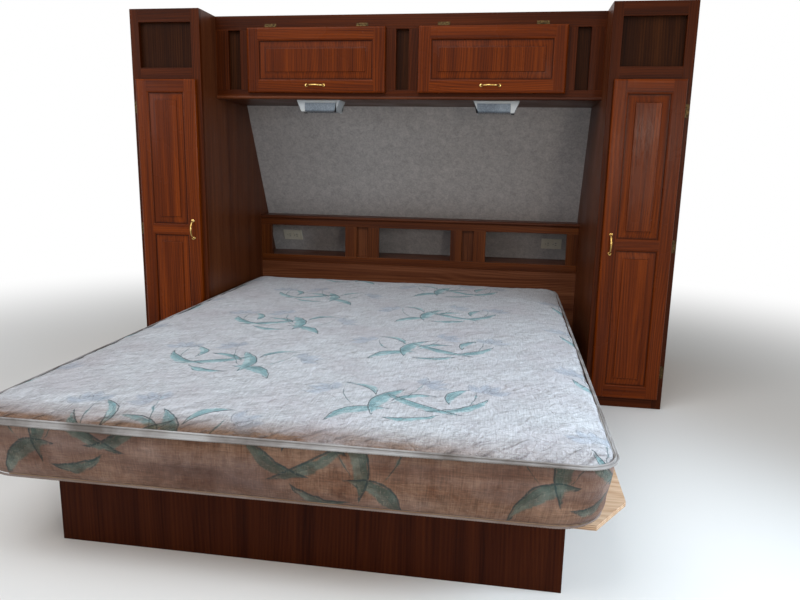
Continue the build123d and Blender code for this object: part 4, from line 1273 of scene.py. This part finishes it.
def frames_and_doors():
    """The boards that show grain of their own: face frames and doors, with their pulls and hinges."""
    door_oak, frame_oak, low_oak = (
        finish_from(name, stained_oak, *colours, "board", gloss=gloss, gleam=gleam)
        for name, *colours, gloss, gleam in (
            ("door_oak", "3f1400", "5b2201", "793305", 0.26, 0.11),
            ("frame_oak", "2d0f03", "3f1804", "55240a", 0.33, 0.08),
            ("headboard_oak", "3b1908", "55280d", "6e3a17", 0.33, 0.12)))
    bright = finish_from("lacquered_brass", brass, "b08a46", "e0bf78", 0.14)
    bronze = finish_from("old_bronze_hinge", brass, "33281c", "5c4a2e", 0.34)
    for number, side in enumerate(("left", "right")):
        low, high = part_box(f"wardrobe_face_frame_{side}")
        inner = (low.x, low.x + FRAME_STILE)
        outer = (high.x - FRAME_STILE, high.x)
        planks = [(x, (0.0, high.z), "z") for x in (inner, outer)]
        planks += [((inner[1], outer[0]), z, "x") for z in WARDROBE_RAILS]
        face_frame(f"wardrobe_frame_{side}", f"wardrobe_face_frame_{side}", planks, frame_oak, 20 + number)
        for kind, label, seed in (("wardrobe", "tall", 30), ("locker", "top", 40)):
            node = f"{kind}_door_{side}"
            low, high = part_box(node)
            rails = MID_RAIL if kind == "wardrobe" else ()
            heights = (low.z + DOOR_STILE, *rails, high.z - DOOR_STILE)
            fields = list(zip(heights[::2], heights[1::2]))
            raised_door(f"{label}_door_{side}", node, fields, door_oak, seed + number)
            bow_pull(f"{label}_door_pull_{side}", f"{kind}_pull_{side}", node, bright)
    for name, uprights, rails, seed, finish in (
            ("locker", LOCKER_UPRIGHTS, LOCKER_RAILS, 50, frame_oak),
            ("headboard", HEADBOARD_UPRIGHTS, HEADBOARD_RAILS, 60, low_oak)):
        low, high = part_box(name + "_face_frame")
        planks = [((low.x, high.x), z, "x") for z in ((low.z, rails[0]), (rails[1], high.z))]
        planks += [(x, rails, "z") for x in uprights]
        face_frame(name + "_frame", name + "_face_frame", planks, finish, seed)
    leaves = ("wardrobe_door_leaves", "wardrobe_frame_leaves", "locker_door_leaves", "locker_frame_leaves")
    paint(bronze, *both(*leaves))
    hinge_screws(bronze)


def panels_and_lining():
    """The nodes that keep their own mesh: sheet panels, deck, wall lining and steel."""
    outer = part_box("wardrobe_side_outer_right")[1].x - STAIN_DEEP
    oaks = (
        ("panel_oak", "3a180a", "502713", "67381e", "z", {"gloss": 0.36, "bare_beyond": outer},
         both("wardrobe_side_inner", "wardrobe_side_outer")),
        ("inset_oak", "1d0b04", "2c1407", "40210d", "z", {"gloss": 0.42, "pore": 1.5, "gleam": 0.05},
         ["locker_insets", *both("wardrobe_inset")]),
        ("shelf_inset_oak", "3a190b", "5b3019", "80492a", "z", {"pore": 2.2, "gleam": 0.10},
         ["headboard_insets"]),
        ("level_oak", "3a1809", "4e2511", "65351b", "x", {},
         ["locker_bottom", "locker_divider", "locker_bead", "headboard_ledge", "headboard_shelf",
          *both("wardrobe_floor")]),
        # Painted light: the lower board's stain is level_oak's made lighter, for the mattress's soft
        # reflection on it
        ("lower_board_oak", "492313", "663820", "824f33", "x", {}, ["headboard_lower_board"]),
        ("printed_base_panel", "270b03", "381506", "461e0a", "z", {"gloss": 0.42, "gleam": 0.05},
         ["bed_base_front", *both("bed_base_side")]),
    )
    for name, *details, looks, nodes in oaks:
        paint(finish_from(name, stained_oak, *details, **looks), *nodes)
    bare = finish_from("bare_plywood", raw_plywood, "ba9270", "e0c3a4", "x", 2)
    paint(bare, "bed_deck", "bed_platform", "locker_top", *both("wardrobe_top"))
    paint(finish_from("bare_plywood_upright", raw_plywood, "a88660", "cfb48d", "x", 1), "bed_base_cross")
    paint(finish_from("zinc_steel", zinc_steel), "bed_hinge_fixed", "bed_hinge_moving", *both("wardrobe_rod"))
    place = wall_place(0.0, 1.0)
    facing = -place.col[2].to_3d()
    back_from = place.translation.dot(facing) + PAPER_DEEP
    paint(finish_from("sloped_lining", lining, tuple(facing), back_from), "wall_lining_sloped")
    back_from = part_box("wall_lining_lower")[0].y + PAPER_DEEP
    paint(finish_from("lower_lining", lining, (0.0, 1.0, 0.0), back_from), "wall_lining_lower")


def camera():
    """The photograph's viewpoint."""
    data = bpy.data.cameras.new("camera")
    data.sensor_width = SENSOR
    data.sensor_fit = "HORIZONTAL"
    data.lens = FOCAL_PX * SENSOR / PHOTO_WIDTH_PX
    seen = bpy.data.objects.new("camera", data)
    level = Vector((cos(CAMERA_YAW), sin(CAMERA_YAW), 0.0))
    forward = Vector((-sin(CAMERA_YAW), cos(CAMERA_YAW), 0.0))
    ahead = forward * cos(CAMERA_PITCH) - Vector((0.0, 0.0, sin(CAMERA_PITCH)))
    above = level.cross(ahead)
    right = level * cos(CAMERA_ROLL) + above * sin(CAMERA_ROLL)
    up = above * cos(CAMERA_ROLL) - level * sin(CAMERA_ROLL)
    turned = Matrix((right, up, -ahead)).transposed().to_4x4()
    seen.matrix_world = Matrix.Translation(CAMERA_AT) @ turned
    bpy.context.scene.collection.objects.link(seen)
    bpy.context.scene.camera = seen


def softbox(name, place, aim, size, watts, tint, spread):
    """A rectangular area light turned to a point, its light kept within a spread of degrees."""
    data = bpy.data.lights.new(name, "AREA")
    data.shape = "RECTANGLE"
    data.size, data.size_y = size
    data.energy = watts
    data.spread = radians(spread)
    data.color = srgb(tint)[:3]
    light = bpy.data.objects.new(name, data)
    turn = (Vector(aim) - Vector(place)).to_track_quat("-Z", "Y")
    light.matrix_world = Matrix.Translation(place) @ turn.to_matrix().to_4x4()
    bpy.context.scene.collection.objects.link(light)


def seen_directly(tree):
    """1 for what the camera sees, straight or in metal and glass."""
    path = put(tree, "ShaderNodeLightPath", out=None)
    mirrored = put(tree, MAXIMUM, path["Is Glossy Ray"], path["Is Transmission Ray"])
    return put(tree, MAXIMUM, path["Is Camera Ray"], mirrored)


def studio():
    """A pale floor that fades into a white surround, and soft lights."""
    finish = bpy.data.materials.new("pale_floor")
    tree = emptied(finish)
    paper = put(tree, "ShaderNodeBsdfDiffuse", "e9e7e3")
    white = put(tree, "ShaderNodeEmission", "ffffff", 1.0)
    away = put(tree, VECTOR + "LENGTH", put(tree, PLACE, out="Object"), out="Value")
    fade = put(tree, REMAP, away, *FLOOR_FADE, 0.0, 1.0, interpolation_type="SMOOTHSTEP")
    share = put(tree, MULTIPLY, seen_directly(tree), fade)
    put(tree, "ShaderNodeOutputMaterial", put(tree, "ShaderNodeMixShader", share, paper, white))
    corners = [(x * FLOOR_REACH, y * FLOOR_REACH, 0) for x, y in ((-1, -1), (1, -1), (1, 1), (-1, 1))]
    floor = link("floor", mesh_of("floor", corners, faces=[(0, 1, 2, 3)]), CRISP, finish)
    floor.location.z = FLOOR_LEVEL
    world = bpy.data.worlds.new("studio")
    bpy.context.scene.world = world
    tree = emptied(world)
    dim = put(tree, "ShaderNodeBackground", "eef2f6", 0.45)
    bright = put(tree, "ShaderNodeBackground", "ffffff", 1.0)
    put(tree, "ShaderNodeOutputWorld", put(tree, "ShaderNodeMixShader", seen_directly(tree), dim, bright))
    for light in LIGHTS:
        softbox(*light)


bpy.context.scene.view_settings.view_transform = "Standard"
camera()
studio()
panels_and_lining()
frames_and_doors()
lamps()
outlets()
mattress()
